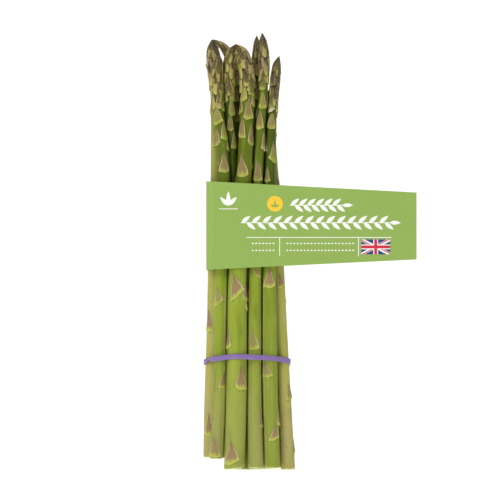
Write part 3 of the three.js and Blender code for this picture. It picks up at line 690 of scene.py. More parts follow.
# Bracts that stand off: height, angle, width, length, lip slope, lifts and whether they are torn
LOOSE = {
    "front_1": [[218.8, -86, 2.6, 4.6, 0, (0.4, 0.9, 1.6), False]],
    "front_2": [
        [179.2, -54, 4.2, 9, 0.3, (0.6, 0.4, 0.1), False],
        [206, 84, 3.4, 9.5, 0, (0.7, 1.1, 1.0), False],
        [212.5, 80, 3.4, 9.5, 0, (0.7, 1.2, 1.3), False],
        [218, 74, 3, 8.5, 0, (0.7, 1.2, 1.4), False],
    ],
    "front_3": [
        [229.6, -78, 3.2, 4.4, 0, (0.8, 1.8, 2.2), False],
        [224, -80, 3.6, 6, 0, (0.8, 1.4, 1.6), False],
    ],
    "inner_1": [
        [229, 60, 3.2, 4.4, 0, (0.8, 1.8, 2.2), False],
        [223.6, 66, 3.6, 6, 0, (0.8, 1.4, 1.6), False],
    ],
    "front_4": [[176.2, 66, 3.4, 4, 0.5, (1.3, 0.9, 0.5), True]],
    "front_5": [
        [197.4, -4, 4.2, 4.2, 0.6, (1.1, 0.9, 0.8), True],
        [197, 80, 3.2, 9.5, 0.1, (1.1, 0.8, 0.3), False],
    ],
    "front_6": [[194.6, 84, 3.6, 9.5, -0.4, (0.9, 1.6, 1.0), False]],
}


def shape_of(shape, v, taper=1.15):
    """The half width of a scale leaf as a share of its own, from the lip, 0, to the point, 1."""
    if shape == "scale":
        return (0.85 + 0.7 * v) * (1 - v) ** 0.75
    return (1 - v) ** taper * (1 + 0.2 * v)


def blade(spear, skin, bract, owner):
    """One scale leaf as a thin closed shell lying on the stem, its lip low, its point up."""
    across, rows = bract["grid"]
    u = np.linspace(-1, 1, across)[None, :]
    v = (np.linspace(0, 1, rows) ** 0.9)[:, None]
    seed = bract["seed"]
    wide = shape_of(bract["shape"], v, 0.95 + 0.4 * scatter(seed + 8))
    half = bract["width"] / 2 * np.maximum(wide, LEAST_HALF_WIDTH)
    half = half * (1 + 0.07 * np.sin(9 * v + 40 * scatter(seed + 5)))
    lean = (scatter(seed + 7) - 0.5) * 0.5 * (1 - v)
    drop = bract["drop"] * (1 - np.abs(u) ** 1.5) - bract["slope"] * bract["width"] / 2 * u
    drop = drop + 0.2 * np.sin(5 * u + 30 * scatter(seed + 6)) * (1 - u**2)
    s = bract["s"] - v * bract["length"] + drop * (1 - v) ** 2
    z = spear.height(np.clip(s, 0.05, spear.length - 0.1))
    stem = spear.radius(z)
    bow = bract["bow"] * v**2
    lip, middle, point = bract["lifts"]
    lift = lip * (1 - v) ** 2.2 + 2 * middle * v * (1 - v) + point * v**2
    lift = lift * (1 - bract["hug"] * u**2) + bract["curl"] * np.abs(u) ** 3 * (1 - v)
    lift = lift + 0.08 * np.sin(11 * u + 30 * scatter(seed + 3)) * (1 - v)
    lift = lift * np.clip(s / APEX_SPAN, APEX_LIFT, 1)
    angle = bract["angle"] + ((u + lean * u**2) * half + bow) / np.maximum(stem + lift, 0.7)
    thick = bract["thick"] * (1 - 0.5 * v) * (1 - 0.45 * u**2)
    outer = spear.place(z, angle, stem + lift)
    inner = spear.place(z, angle, np.maximum(stem + lift - thick, ROOT_DEPTH))
    size = rows * across
    faces = grid_faces(rows, across) + grid_faces(rows, across, start=size, flip=True)
    rim = list(range(across))
    rim += [i * across + across - 1 for i in range(1, rows)]
    rim += [(rows - 1) * across + j for j in range(across - 2, -1, -1)]
    rim += [i * across for i in range(rows - 2, 0, -1)]
    for a, b in zip(rim, rim[1:] + rim[:1]):
        faces.append((b, a, a + size, b + size))
    ones = np.ones((rows, across))
    leaf = np.stack([ones, ones * v, ones * np.abs(u)], -1).reshape(-1, 3)
    points = np.concatenate([outer.reshape(-1, 3), inner.reshape(-1, 3)])
    chance = TORN if bract["torn"] else scatter(seed + 4)
    skin.add(points, faces, np.concatenate([leaf, leaf]), chance, owner)


def seed_of(spear, n, group):
    """The number that a scale leaf's random draws start from."""
    return spear.index * 511 + n * 7 + group


def bracts_of(spear):
    """The bracts in sight where they were chosen, and the others along the spiral."""
    found = []

    def add(s, degrees, width, length, seed, shape="bract", slope=None, lifts=None, torn=False, bow=None):
        on_head = shape == "scale"
        drop = length * (0.08 if on_head else 0.1)
        if slope is None:
            slope = (scatter(seed + 1) - 0.5) * 0.5
        if bow is None:
            bow = (scatter(seed + 2) - 0.5) * 1.3
        found.append({
            "s": s - drop / 2, "angle": math.radians(degrees), "width": width, "length": length,
            "shape": shape, "seed": seed, "slope": slope, "drop": drop, "torn": torn,
            "bow": bow,
            "grid": SCALE_GRID if on_head else BRACT_GRID,
            "lifts": lifts or (SCALE_LIFTS if on_head else BRACT_LIFTS),
            "hug": 0.45 if on_head else 0.35,
            "curl": 0.0 if on_head else 0.14,
            "thick": 0.5 if on_head else 0.48,
        })

    slopes = LIP_SLOPES.get(spear.name, [])
    for n, (z, degrees, width, length) in enumerate(spear.chosen):
        seed = seed_of(spear, n, CHOSEN_SEEDS)
        slope = slopes[n] if n < len(slopes) else None
        bow = BOWS.get(spear.name, {}).get(n)
        width *= CHOSEN_WIDER
        add(float(spear.distance(z)), degrees, width, length * CHOSEN_LONGER, seed, slope=slope, bow=bow)
    for n, (z, degrees, width, length, slope, lifts, torn) in enumerate(LOOSE.get(spear.name, [])):
        seed = seed_of(spear, n, LOOSE_SEEDS)
        add(float(spear.distance(z)), degrees, width, length, seed, "bract", slope, lifts, torn)
    s = FIRST_BRACT
    n = 0
    while s < spear.length - FOOT_CLEAR:
        z = float(spear.height(s))
        jitter = scatter(spear.index * 97 + n) - 0.5
        degrees = (spear.turn + n * GOLDEN_ANGLE + jitter * 22 + 180) % 360 - 180
        near_band = abs(z - (BAND["front"] + BAND["back"]) / 2) < BAND_CLEAR
        chosen_here = len(spear.chosen) > 0 and abs(degrees) < FRONT_ARC
        radius = float(spear.radius(z))
        if s >= HEAD_SPAN and not near_band and not chosen_here:
            add(s, degrees, radius * 1.6, 9 + 2 * jitter, seed_of(spear, n, 0))
        s += (BRACT_STEP_NEAR + BRACT_STEP_GROWTH * s if s < SPARSE_FROM else
              BRACT_STEP_NEAR + BRACT_STEP_GROWTH * SPARSE_FROM + SPARSE_GROWTH * (s - SPARSE_FROM))
        n += 1
    s = FIRST_SCALE
    n = 0
    while s < HEAD_SPAN + 6:
        z = float(spear.height(s))
        jitter = scatter(spear.index * 131 + n + 900) - 0.5
        degrees = spear.turn + n * GOLDEN_ANGLE + jitter * 24
        radius = float(spear.radius(z))
        width = min(5.2, radius * 1.75) * (1 + 0.2 * jitter)
        length = min(s - 0.05, 10.5 + 3.5 * jitter)
        add(s, degrees, width, length, seed_of(spear, n, SCALE_SEEDS), "scale")
        s += SCALE_STEP + SCALE_GROWTH * s
        n += 1
    return found


def stem(spear, skin, bracts):
    """The stem from its tip to its cut end, swollen a little under each bract."""
    s = np.concatenate([np.arange(0.3, 12, 0.9), np.arange(12, spear.length - 2.4, STEM_STEP)])
    z = np.concatenate([spear.height(s), [spear.foot + 2.2]])[:, None]
    angle = np.linspace(0, 2 * math.pi, STEM_SIDES, endpoint=False)[None, :]
    radius = spear.radius(z) * np.ones_like(angle)
    phase = 6.28 * scatter(spear.index + 50)
    radius = radius + 0.035 * np.sin(7 * angle + phase + 0.02 * z) + 0.02 * np.sin(13 * angle - 2 * phase)
    radius = radius + 0.05 * np.sin(0.09 * z + phase) * np.cos(angle - phase)
    for bract in bracts:
        if bract["shape"] == "scale":
            continue
        below = spear.distance(z) - bract["s"]
        turn = (angle - bract["angle"] + math.pi) % (2 * math.pi) - math.pi
        bump = np.exp(-((below - 0.3) / SWELLING_LENGTH) ** 2) * np.exp(-((turn / SWELLING_TURN) ** 2))
        radius = radius + SWELLING * bump
    rings = [spear.place(z, angle, radius)]
    foot_radius = float(spear.radius(spear.foot))
    for share, rise in CUT_RINGS:
        ring = spear.place(spear.foot, angle, foot_radius * share, level=True)
        ragged = np.sin(3 * angle + phase) * np.sin(8 * angle + 2 * phase)
        ring[..., 2] += rise + CUT_RAGGED * share**4 * np.maximum(ragged, 0)
        rings.append(ring)
    points = np.concatenate(rings)
    low = np.clip(1 - (points[..., 2] - spear.foot) / SLANT_SPAN, 0, 1)
    across = points[..., 0] - spear.axis(spear.foot)[0] + foot_radius
    points[..., 2] += low * np.maximum(spear.slant * across, 0)
    rows = points.shape[0]
    tip = spear.place(float(spear.height(0.05)), 0.0, 0.0)
    middle = spear.axis(spear.foot)
    middle[2] += 0.1 + spear.slant * foot_radius
    flat = np.concatenate([tip[None], points.reshape(-1, 3), middle[None]])
    last = 1 + (rows - 1) * STEM_SIDES
    end = len(flat) - 1
    faces = grid_faces(rows, STEM_SIDES, closed=True, start=1, flip=True)
    for j in range(STEM_SIDES):
        k = (j + 1) % STEM_SIDES
        faces.append((0, 1 + j, 1 + k))
        faces.append((end, last + k, last + j))
    skin.add(flat, faces, (0, 0, 0), scatter(spear.index))
    cut = np.zeros(len(flat))
    cut[1 + (rows - len(CUT_RINGS) + CUT_SKIN) * STEM_SIDES:] = 1
    return cut


def edge_shade(spear, bracts, points, owner):
    """How close each point lies outside the edge of a scale leaf that isn't its own, from 0 to 1: where a
    painted shadow of that leaf's edge goes.
    """
    z = points[:, 2]
    axis = spear.axis(z)
    dx = points[:, 0] - axis[:, 0]
    dy = axis[:, 1] - points[:, 1]
    around = np.arctan2(dx, dy)
    stem_radius = spear.radius(z)
    lift = np.hypot(dx, dy) - stem_radius
    s = spear.distance(z)
    shade = np.zeros(len(z))
    for k, bract in enumerate(bracts):
        half = bract["width"] / 2
        turn = (around - bract["angle"] + math.pi) % (2 * math.pi) - math.pi
        x = turn * (stem_radius + 0.6)
        near = (owner != k) & (np.abs(x) < half + 1.5)
        near &= (s > bract["s"] - bract["length"]) & (s < bract["s"] + bract["drop"] + 3)
        if not near.any():
            continue
        x = x[near]
        u = np.clip(x / half, -1, 1)
        below = s[near] - bract["s"] - bract["drop"] * (1 - np.abs(u) ** 1.5) + bract["slope"] * half * u
        v = np.clip(-below / bract["length"], 0, 0.98)
        beside = np.maximum(np.abs(x) - half * shape_of(bract["shape"], v), 0)
        away = np.hypot(np.maximum(below, 0), beside)
        found = np.exp(-away / EDGE_REACH) * np.where(below > 0, 1, 0.6)
        found[lift[near] > bract["lifts"][0] + 0.1] = 0
        shade[near] = np.maximum(shade[near], found)
    return shade


def keep_apart(spear, spears, points):
    """Draws points back towards their own axis where they pass halfway to a neighbour."""
    for _ in range(3):
        own = spear.beyond(points)
        nearest = np.full(len(points), 1e9)
        for other in spears:
            if other is not spear:
                nearest = np.minimum(nearest, other.beyond(points))
        over = np.maximum(own + CELL_GAP - nearest, 0) / 2
        covered = (points[:, 2] > WRAP["bottom_left"] - COVER_MARGIN) & (
            points[:, 2] < WRAP["top_left"] + COVER_MARGIN)
        over = np.maximum(over, np.where(covered, own - (WRAP["room"] - CELL_GAP), 0))
        inward = spear.axis(points[:, 2]) - points
        inward[:, 2] = 0
        reach = np.maximum(np.linalg.norm(inward, axis=1), 0.01)
        points = points + inward * np.minimum(over / reach, 0.9)[:, None]
    return points


def make_spear(spear, spears, material):
    skin = Skin()
    bracts = bracts_of(spear)
    cut = stem(spear, skin, bracts)
    for k, bract in enumerate(bracts):
        blade(spear, skin, bract, k)
    points = keep_apart(spear, spears, np.concatenate(skin.points))
    points[:, 2] = np.maximum(points[:, 2], spear.foot)
    z = points[:, 2]
    head = np.clip(1.25 - spear.distance(z) / 34, 0, 1)
    where = np.stack([z / spear.tip, np.full(len(z), spear.tone), head], -1)
    cut = np.concatenate([cut, np.zeros(len(z) - len(cut))])
    foot_age, head_age = AGES.get(spear.name, BACK_AGES)
    age = np.where(z < BUNDLE_HEIGHT / 2, foot_age, head_age)
    mark = np.stack([cut, np.concatenate(skin.chance), age], -1)
    # Masks for painted shade: nearness to another spear (painted shade high up, a painted highlight low
    # down) and nearness to another scale leaf's edge (painted shadow)
    nearest = np.min([other.beyond(points) for other in spears if other is not spear], axis=0)
    shade_and_rim = np.zeros((len(z), 3))
    shade_and_rim[:, 0] = np.clip(1 - nearest / CREVICE_REACH, 0, 1)
    shade_and_rim[:, 1] = edge_shade(spear, bracts, points, np.concatenate(skin.owner))
    piece = make_object(
        "fine_" + spear.name, points, skin.faces, [material],
        [("leaf", np.concatenate(skin.leaf)), ("where", where), ("mark", mark), ("shade_and_rim", shade_and_rim)])
    finish_piece(piece, "spear_" + spear.name)


# Lines round the bundle, seen from above

def round_points(spears, height_for, margin, steps=72):
    """Points round every spear's circle at its height."""
    turns = np.linspace(0, 2 * math.pi, steps, endpoint=False)
    way = np.stack([np.cos(turns), np.sin(turns)], -1)
    found = []
    for spear in spears:
        z = float(height_for(spear))
        found.append(spear.axis(z)[:2] + way * (float(spear.radius(z)) + margin))
    return np.concatenate(found)


def hull_of(points):
    """The smallest line round a set of points, anticlockwise."""
    order = sorted(map(tuple, np.round(points, 5)))

    def chain(places):
        line = []
        for p in places:
            while len(line) > 1 and (
                (line[-1][0] - line[-2][0]) * (p[1] - line[-2][1])
                - (line[-1][1] - line[-2][1]) * (p[0] - line[-2][0])
            ) <= 1e-9:
                line.pop()
            line.append(p)
        return line[:-1]

    return np.array(chain(order) + chain(order[::-1]))


def resample(line, step):
    """Points at an even step along a line."""
    gaps = np.linalg.norm(np.diff(line, axis=0), axis=1)
    along = np.concatenate([[0], np.cumsum(gaps)])
    at = np.linspace(0, along[-1], max(int(round(along[-1] / step)), 4) + 1)
    return np.stack([np.interp(at, along, line[:, i]) for i in range(2)], -1)


def leftward(line):
    """The direction to the left of a line at each of its points."""
    ahead = np.gradient(line, axis=0)
    ahead /= np.linalg.norm(ahead, axis=1, keepdims=True)
    return np.stack([-ahead[:, 1], ahead[:, 0]], -1)


# Rubber band

BAND_CORNERS = 16
BAND_STEP = 0.8
TWIST_SPAN = 9  # length of the half twist
TWIST_AT = (-20.9, -9.1)


def make_band(spears, material):
    depths = [spear.axis(float(BAND["front"]))[1] for spear in spears]

    def height_at(y):
        return mix(BAND["front"], BAND["back"], (y - min(depths)) / (max(depths) - min(depths)))

    loop = hull_of(round_points(
        spears, lambda spear: height_at(spear.axis(float(BAND["back"]))[1]), BAND["room"]))
    far = int(np.argmax(np.linalg.norm(loop - TWIST_AT, axis=1)))
    loop = np.roll(loop, -far, axis=0)
    loop = resample(np.concatenate([loop, loop[:1]]), BAND_STEP)[:-1]
    for _ in range(3):
        loop = (np.roll(loop, 1, 0) + 2 * loop + np.roll(loop, -1, 0)) / 4
    count = len(loop)
    out = -leftward(np.concatenate([loop[-1:], loop, loop[:1]]))[1:-1]
    turned_at = int(np.argmin(np.linalg.norm(loop - TWIST_AT, axis=1)))
    along = (np.arange(count) - turned_at) * BAND_STEP
    places = np.array([(x, y, height_at(y)) for x, y in loop])
    free = np.min([spear.beyond(places) for spear in spears], axis=0)
    part = np.clip(along / TWIST_SPAN + 0.5, 0, 1)
    twist = math.pi * part * part * (3 - 2 * part)
    corners = (np.arange(BAND_CORNERS) + 0.5) * 2 * math.pi / BAND_CORNERS
    square = (np.abs(np.cos(corners)) ** 6 + np.abs(np.sin(corners)) ** 6) ** (-1 / 6)
    points = []
    for i, (x, y) in enumerate(loop):
        ring_out = np.cos(corners) * square * BAND["thickness"] / 2
        ring_up = np.sin(corners) * square * BAND["height"] * (1 + 0.03 * math.sin(along[i] * 0.3)) / 2
        c, s = math.cos(twist[i]), math.sin(twist[i])
        needed = abs(s) * BAND["height"] / 2 + abs(c) * BAND["thickness"] / 2
        reach = max(needed - free[i] + BAND["room"], BAND["thickness"] / 2)
        radial = ring_out * c - ring_up * s + reach
        rise = ring_out * s + ring_up * c
        for a, b in zip(radial, rise):
            points.append((x + out[i, 0] * a, y + out[i, 1] * a, height_at(y) + b))
    faces = grid_faces(count, BAND_CORNERS, closed=True, flip=True)
    last = (count - 1) * BAND_CORNERS
    # The twist has turned the section half over where the ends meet
    turned = BAND_CORNERS // 2
    for j in range(BAND_CORNERS):
        k = (j + 1) % BAND_CORNERS
        faces.append((
            last + j,
            (j + turned) % BAND_CORNERS,
            (k + turned) % BAND_CORNERS,
            last + k,
        ))
    piece = make_object("fine_band", points, faces, [material], sharp=60)
    finish_piece(piece, "rubber_band")


# Card wrap

CARD_STEP = 1.0
CARD_ROWS = 9
CARD_GAP = 0.03


def card_span(x):
    """The wrap's lower and upper edge at x."""
    along = (x - WRAP["left"]) / (WRAP["right"] - WRAP["left"])
    return (mix(WRAP["bottom_left"], WRAP["bottom_right"], along),
            mix(WRAP["top_left"], WRAP["top_right"], along))


def card_bend(x):
    """How far the flag has curled back at x."""
    share = np.clip((x - WRAP["curl_from"]) / (WRAP["right"] - WRAP["curl_from"]), 0, 1)
    return WRAP["curl"] * share**2


def card_front(spears):
    heights = np.arange(WRAP["bottom_left"], WRAP["top_left"], LEVEL_STEP / 2)
    nearest = min(float(np.min(s.axis(heights)[:, 1] - s.radius(heights))) for s in spears)
    return nearest - WRAP["front_room"] - WRAP["depth"]


def make_wrap(spears, green, raw):
    front = card_front(spears)
    back = front + 2 * WRAP["card"] + CARD_GAP
    corner = WRAP["corner"]
    outside = [round_points(spears, lambda spear, z=z: z, WRAP["room"] + WRAP["card"])
               for z in np.arange(WRAP["bottom_left"], WRAP["top_left"], LEVEL_STEP / 2)]
    corners = [(WRAP["left"], front + corner), (WRAP["left"] + corner, front),
               (WRAP["meet"], front), (WRAP["meet"], back)]
    rim = hull_of(np.concatenate(outside + [np.array(corners)]))
    first = int(np.argmin(np.abs(rim[:, 0] - WRAP["meet"]) + np.abs(rim[:, 1] - back)))
    line = np.roll(rim, -first, axis=0)[::-1]
    line = np.concatenate([[(WRAP["right"], front)], line, [(WRAP["right"], back)]])
    line = resample(line, CARD_STEP)
    turned = int(np.argmax(line[:, 1]))
    for turn in range(26):
        softer = line.copy()
        softer[1:-1] = (line[:-2] + 2 * line[1:-1] + line[2:]) / 4
        if turn > 1:
            softer[:turned] = line[:turned]
        line = softer
    outward = leftward(line)
    inner = line - outward * WRAP["card"]
    bottom, top = card_span(line[:, 0])
    share = np.linspace(0, 1, CARD_ROWS)[:, None]
    z = bottom + (top - bottom) * share
    sheets = []
    for side in (line, inner):
        y = side[:, 1] + card_bend(side[:, 0])
        sheets.append(np.stack([side[:, 0] + 0 * z, y + 0 * z, z], -1).reshape(-1, 3))
    columns = len(line)
    size = columns * CARD_ROWS
    faces = grid_faces(CARD_ROWS, columns, flip=True)
    kinds = [0] * len(faces)
    faces += grid_faces(CARD_ROWS, columns, start=size)
    edge = list(range(columns)) + [i * columns + columns - 1 for i in range(1, CARD_ROWS)]
    edge += [(CARD_ROWS - 1) * columns + j for j in range(columns - 2, -1, -1)]
    edge += [i * columns for i in range(CARD_ROWS - 2, 0, -1)]
    for a, b in zip(edge, edge[1:] + edge[:1]):
        faces.append((a, b, b + size, a + size))
    kinds += [1] * (len(faces) - len(kinds))
    piece = make_object("fine_wrap", np.concatenate(sheets), faces, [green, raw], kinds=kinds, sharp=30)
    finish_piece(piece, "card_wrap")
    return front


# Printing on the card: thin raised shapes, as (x, z) outlines

PRINT_DEPTH = 0.05
PRINT_LAYERS = 5  # neighbouring plates differ by a hair in height, so that none share a face
PRINT_HAIR = 0.004


class Print:
    """Thin closed plates lying on the front of the card."""

    def __init__(self, front, lift=0.0):
        self.front = front
        self.lift = lift
        self.plates = 0
        self.points = []
        self.faces = []

    def plate(self, outline):
        start = len(self.points)
        n = len(outline)
        self.plates += 1
        hair = PRINT_HAIR * (self.plates % PRINT_LAYERS)
        for depth in (self.lift + PRINT_DEPTH + hair, -0.02):
            for x, z in outline:
                self.points.append((x, self.front + float(card_bend(x)) - depth, z))
        self.faces.append(tuple(start + i for i in range(n)))
        self.faces.append(tuple(start + n + i for i in range(n))[::-1])
        for i in range(n):
            k = (i + 1) % n
            self.faces.append((start + k, start + i, start + n + i, start + n + k))

    def bar(self, x0, z0, x1, z1, width, pieces=1):
        """A bar of an even width from one place to another."""
        length = math.hypot(x1 - x0, z1 - z0)
        nx, nz = -(z1 - z0) / length * width / 2, (x1 - x0) / length * width / 2
        for i in range(pieces):
            a, b = i / pieces, (i + 1) / pieces
            ax, az, bx, bz = mix(x0, x1, a), mix(z0, z1, a), mix(x0, x1, b), mix(z0, z1, b)
            self.plate([(ax - nx, az - nz), (bx - nx, bz - nz), (bx + nx, bz + nz), (ax + nx, az + nz)])

    def leaf(self, x, z, degrees, length, width):
        """A pointed leaf from its root at x, z."""
        turn = math.radians(degrees)
        c, s = math.cos(turn), math.sin(turn)
        share = np.linspace(0, 1, 9)
        half = width / 2 * np.sin(np.pi * share**0.85)
        low = [(a * length, -b) for a, b in zip(share, half)]
        high = [(a * length, b) for a, b in zip(share[-2:0:-1], half[-2:0:-1])]
        self.plate([(x + a * c - b * s, z + a * s + b * c) for a, b in low + high])

    def disc(self, x, z, radius):
        turns = np.linspace(0, 2 * math.pi, 40, endpoint=False)
        self.plate([(x + radius * math.cos(t), z + radius * math.sin(t)) for t in turns])

    def make(self, name, material):
        piece = make_object(name, self.points, self.faces, [material], sharp=20)
        finish_piece(piece, None)


LINE_WIDTH = 0.4
TWIG_WIDTH = 0.45
TWIG_START = 0.4  # from the twig's end to its first leaf
TWIG_END = 0.2  # the last leaf's root lies this far inside the other end
TWIG_SLANT = 38  # of its leaves, in degrees
# Twigs: from x to x, height, pairs of leaves, and the leaves' length and width
TWIGS = ((23, 52, 145.6, 6, 6, 2.1), (-4, 78, 136, 14, 6.2, 2.2))
RULE = (-0.9, 78.8, 127.9)  # from x to x, height
DIVIDERS = (17.4, 60.7)
DIVIDER_FOOT = 117.6
MARK = (-10.8, 145.4)
MARK_LEAVES = ((46, 6.6), (90, 8), (134, 6.6))  # degrees and length
MARK_LEAF_WIDTH = 2.3
MARK_LINE = (-16, -5.6, 143.6)
DASH = (1.3, 0.8)  # length and width
DASH_STEP = 1.9
DASH_SPANS = ((2.0, 15.0), (21.0, 57.5))
DASH_ROWS = (124.6, 120.8)
SEAL = (14.8, 146.4)
SEAL_RADIUS = 4.3
SEAL_LIFT = 0.06
SEAL_ROOT = 1.9  # its leaves start this far below its middle
SEAL_LEAVES = ((30, 3), (90, 4), (150, 3))
SEAL_LEAF_WIDTH = 1.2


def sprig(art, x0, x1, z, pairs, leaf_length, leaf_width):
    """A level twig with pairs of leaves."""
    art.bar(x0, z, x1, z, TWIG_WIDTH, pieces=6)
    step = (x1 - x0 - leaf_length) / (pairs - 1)
    for i in range(pairs):
        x = x0 + TWIG_START + i * step
        art.leaf(x, z, TWIG_SLANT, leaf_length, leaf_width)
        art.leaf(x + step / 2, z, -TWIG_SLANT, leaf_length, leaf_width)
    art.leaf(x1 - TWIG_END, z, 0, leaf_length, leaf_width)


def make_print(front, white, yellow, green):
    art = Print(front)
    left, right, rule_z = RULE
    art.bar(left, rule_z, right, rule_z, LINE_WIDTH, pieces=8)
    for x in DIVIDERS:
        art.bar(x, DIVIDER_FOOT, x, rule_z - LINE_WIDTH / 2, LINE_WIDTH)
    for twig in TWIGS:
        sprig(art, *twig)
    for degrees, length in MARK_LEAVES:
        art.leaf(*MARK, degrees, length, MARK_LEAF_WIDTH)
    left, right, line_z = MARK_LINE
    art.bar(left, line_z, right, line_z, LINE_WIDTH)
    for x0, x1 in DASH_SPANS:
        for z in DASH_ROWS:
            for x in np.arange(x0, x1, DASH_STEP):
                art.leaf(x, z, 0, *DASH)
    art.make("wrap_print", white)
    dot = Print(front)
    dot.disc(*SEAL, SEAL_RADIUS)
    dot.make("wrap_print_yellow", yellow)
    inner = Print(front, SEAL_LIFT)
    for degrees, length in SEAL_LEAVES:
        inner.leaf(SEAL[0], SEAL[1] - SEAL_ROOT, degrees, length, SEAL_LEAF_WIDTH)
    inner.make("wrap_print_seal_leaves", green)


FLAG = {"x0": 62.2, "x1": 78.1, "z0": 118.6, "z1": 126.8}
FLAG_LAYER = 0.03  # each colour lies this much higher than the one below
RED_DIAGONAL = 0.7  # width as a share of half the white diagonal's
WHITE_CROSS = 1.6  # half width as a share of the red cross's


def clip(outline, keep):
    """The part of a convex outline where keep(x, z), a linear measure, isn't negative."""
    found = []
    for i, p in enumerate(outline):
        q = outline[(i + 1) % len(outline)]
        a, b = keep(*p), keep(*q)
        if a >= 0:
            found.append(p)
        if (a >= 0) != (b >= 0):
            t = a / (a - b)
            found.append((mix(p[0], q[0], t), mix(p[1], q[1], t)))
    return found


def make_flag(front, white, blue, red):
    """The small national flag: diagonal and upright crosses on a blue field."""
    x0, x1, z0, z1 = FLAG["x0"], FLAG["x1"], FLAG["z0"], FLAG["z1"]
    cx, cz = (x0 + x1) / 2, (z0 + z1) / 2
    box = [(x0, z0), (x1, z0), (x1, z1), (x0, z1)]

    def clipped(outline):
        for keep in (lambda x, z: x - x0, lambda x, z: x1 - x, lambda x, z: z - z0, lambda x, z: z1 - z):
            outline = clip(outline, keep)
        return outline

    def diagonal(way, low, high):
        """A strip along a diagonal, from low to high across it."""
        run, rise = (x1 - x0) / 2, way * (z1 - z0) / 2
        size = math.hypot(run, rise)
        nx, nz = -rise / size, run / size
        return [(cx - 2 * run + nx * low, cz - 2 * rise + nz * low),
                (cx + 2 * run + nx * low, cz + 2 * rise + nz * low),
                (cx + 2 * run + nx * high, cz + 2 * rise + nz * high),
                (cx - 2 * run + nx * high, cz - 2 * rise + nz * high)]

    def make_cross(name, layer, half, material):
        """An upright and a level bar across the whole box."""
        art = Print(front, layer * FLAG_LAYER)
        art.plate([(cx - half, z0), (cx + half, z0), (cx + half, z1), (cx - half, z1)])
        art.plate([(x0, cz - half), (x1, cz - half), (x1, cz + half), (x0, cz + half)])
        art.make(name, material)

    field = Print(front)
    field.plate(box)
    field.make("wrap_flag_field", blue)
    pale = Print(front, FLAG_LAYER)
    strong = Print(front, 2 * FLAG_LAYER)
    thick = (z1 - z0) / 10
    for way in (1, -1):
        pale.plate(clipped(diagonal(way, -thick, thick)))
        strong.plate(clip(clipped(diagonal(way, -RED_DIAGONAL * thick, 0)), lambda x, z: cx - x))
        strong.plate(clip(clipped(diagonal(way, 0, RED_DIAGONAL * thick)), lambda x, z: x - cx))
    pale.make("wrap_flag_diagonals", white)
    strong.make("wrap_flag_red_diagonals", red)
    make_cross("wrap_flag_cross", 3, WHITE_CROSS * thick, white)
    make_cross("wrap_flag_red_cross", 4, thick, red)


# Stage, lights and camera

FLOOR_HALF = 1.6
FLOOR_DARKER = (0.9, 0.9, 0.9, 1)
FLOOR_LIGHTER = (0.92, 0.92, 0.92, 1)
FLOOR_GLOW = 0.62  # keeps the floor near white, like the background


def make_stage():
    g = Graph("pale_floor")
    cloud = g.noise(g.stretched(2, 2, 2), 2.0)
    colour = g.blend(g.between(cloud, 0.3, 0.7), FLOOR_DARKER, FLOOR_LIGHTER)
    g.set(g.shader, {
        "Base Color": colour, "Roughness": 0.9,
        "Emission Color": (1, 1, 1, 1), "Emission Strength": FLOOR_GLOW,
    })
    half = FLOOR_HALF / MM
    corners = [(-half, -half, 0), (half, -half, 0), (half, half, 0), (-half, half, 0)]
    make_object("studio_floor", corners, [(0, 1, 2, 3)], [g.material])


LIGHTS = (
    # name, place, size, watts
    ("key", (-0.8, -1.1, 0.9), 0.8, 10),
    ("fill", (1.0, -1.0, 0.5), 1.1, 2.4),
    ("top", (0.0, 0.3, 1.4), 1.0, 2),
    ("back_left", (-1.0, 1.1, 0.7), 1.0, 4),
    ("back_right", (1.0, 1.1, 0.7), 1.0, 4),
)
AIM = (0.0011, 0.0, 0.121)
CAMERA_DISTANCE = 5.0
WORLD_LIGHT = 0.33
WORLD_SEEN = 1.1  # the white background that the camera sees
FRAME_WIDTH = 0.275  # at the spears' depth, a little behind the card
CAMERA_BEHIND = 0.007
SENSOR = 36


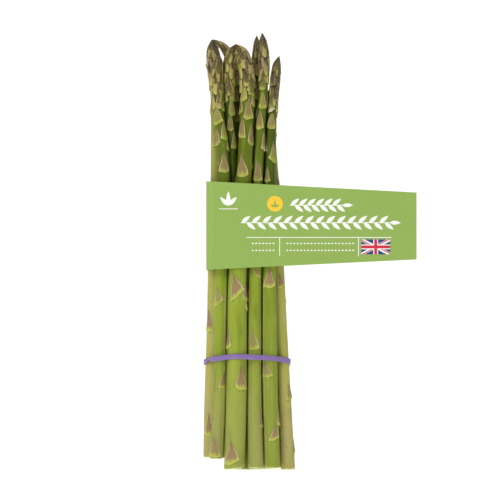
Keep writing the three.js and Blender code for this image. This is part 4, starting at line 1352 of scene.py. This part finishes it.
def make_lights():
    for name, place, size, watts in LIGHTS:
        light = bpy.data.lights.new(name, "AREA")
        light.size = size
        light.energy = watts
        lamp = bpy.data.objects.new(name, light)
        lamp.location = place
        way = Vector(AIM) - Vector(place)
        lamp.rotation_euler = way.to_track_quat("-Z", "Y").to_euler()
        bpy.context.scene.collection.objects.link(lamp)
    make_world()


def make_world():
    """A soft even light, and a white background where the camera looks past the floor."""
    world = bpy.data.worlds.new("studio")
    world.use_nodes = True
    tree = world.node_tree
    tree.nodes.clear()
    parts = []
    for strength in (WORLD_LIGHT, WORLD_SEEN):
        part = tree.nodes.new("ShaderNodeBackground")
        part.inputs["Strength"].default_value = strength
        part.inputs["Color"].default_value = (1, 1, 1, 1)
        parts.append(part.outputs[0])
    either = tree.nodes.new("ShaderNodeMixShader")
    tree.links.new(tree.nodes.new("ShaderNodeLightPath").outputs["Is Camera Ray"], either.inputs[0])
    tree.links.new(parts[0], either.inputs[1])
    tree.links.new(parts[1], either.inputs[2])
    out = tree.nodes.new("ShaderNodeOutputWorld")
    tree.links.new(either.outputs[0], out.inputs["Surface"])
    bpy.context.scene.world = world


def make_camera(front):
    camera = bpy.data.cameras.new("camera")
    camera.sensor_width = SENSOR
    camera.lens = SENSOR * CAMERA_DISTANCE / FRAME_WIDTH
    camera.clip_end = 20
    seat = bpy.data.objects.new("camera", camera)
    seat.location = (AIM[0], front * MM + CAMERA_BEHIND - CAMERA_DISTANCE, AIM[2])
    seat.rotation_euler = (math.pi / 2, 0, 0)
    bpy.context.scene.collection.objects.link(seat)
    bpy.context.scene.camera = seat


spears = all_spears()
skin_material = asparagus()
for one in spears:
    make_spear(one, spears, skin_material)
make_band(spears, rubber())
white_ink = card("white_ink", *WHITE_INK, INK_ROUGH)
green_card = card("green_card", CARD_GREEN, CARD_WORN, CARD_ROUGH)
front_plane = make_wrap(spears, green_card, card("raw_card", CARD_RAW, CARD_WHITE, RAW_ROUGH))
make_print(front_plane, white_ink, card("yellow_ink", *YELLOW_INK, INK_ROUGH), green_card)
blue_ink = card("blue_ink", *BLUE_INK, INK_ROUGH)
make_flag(front_plane, white_ink, blue_ink, card("red_ink", *RED_INK, INK_ROUGH))
make_stage()
make_lights()
make_camera(front_plane)
bpy.context.scene.view_settings.view_transform = "Standard"
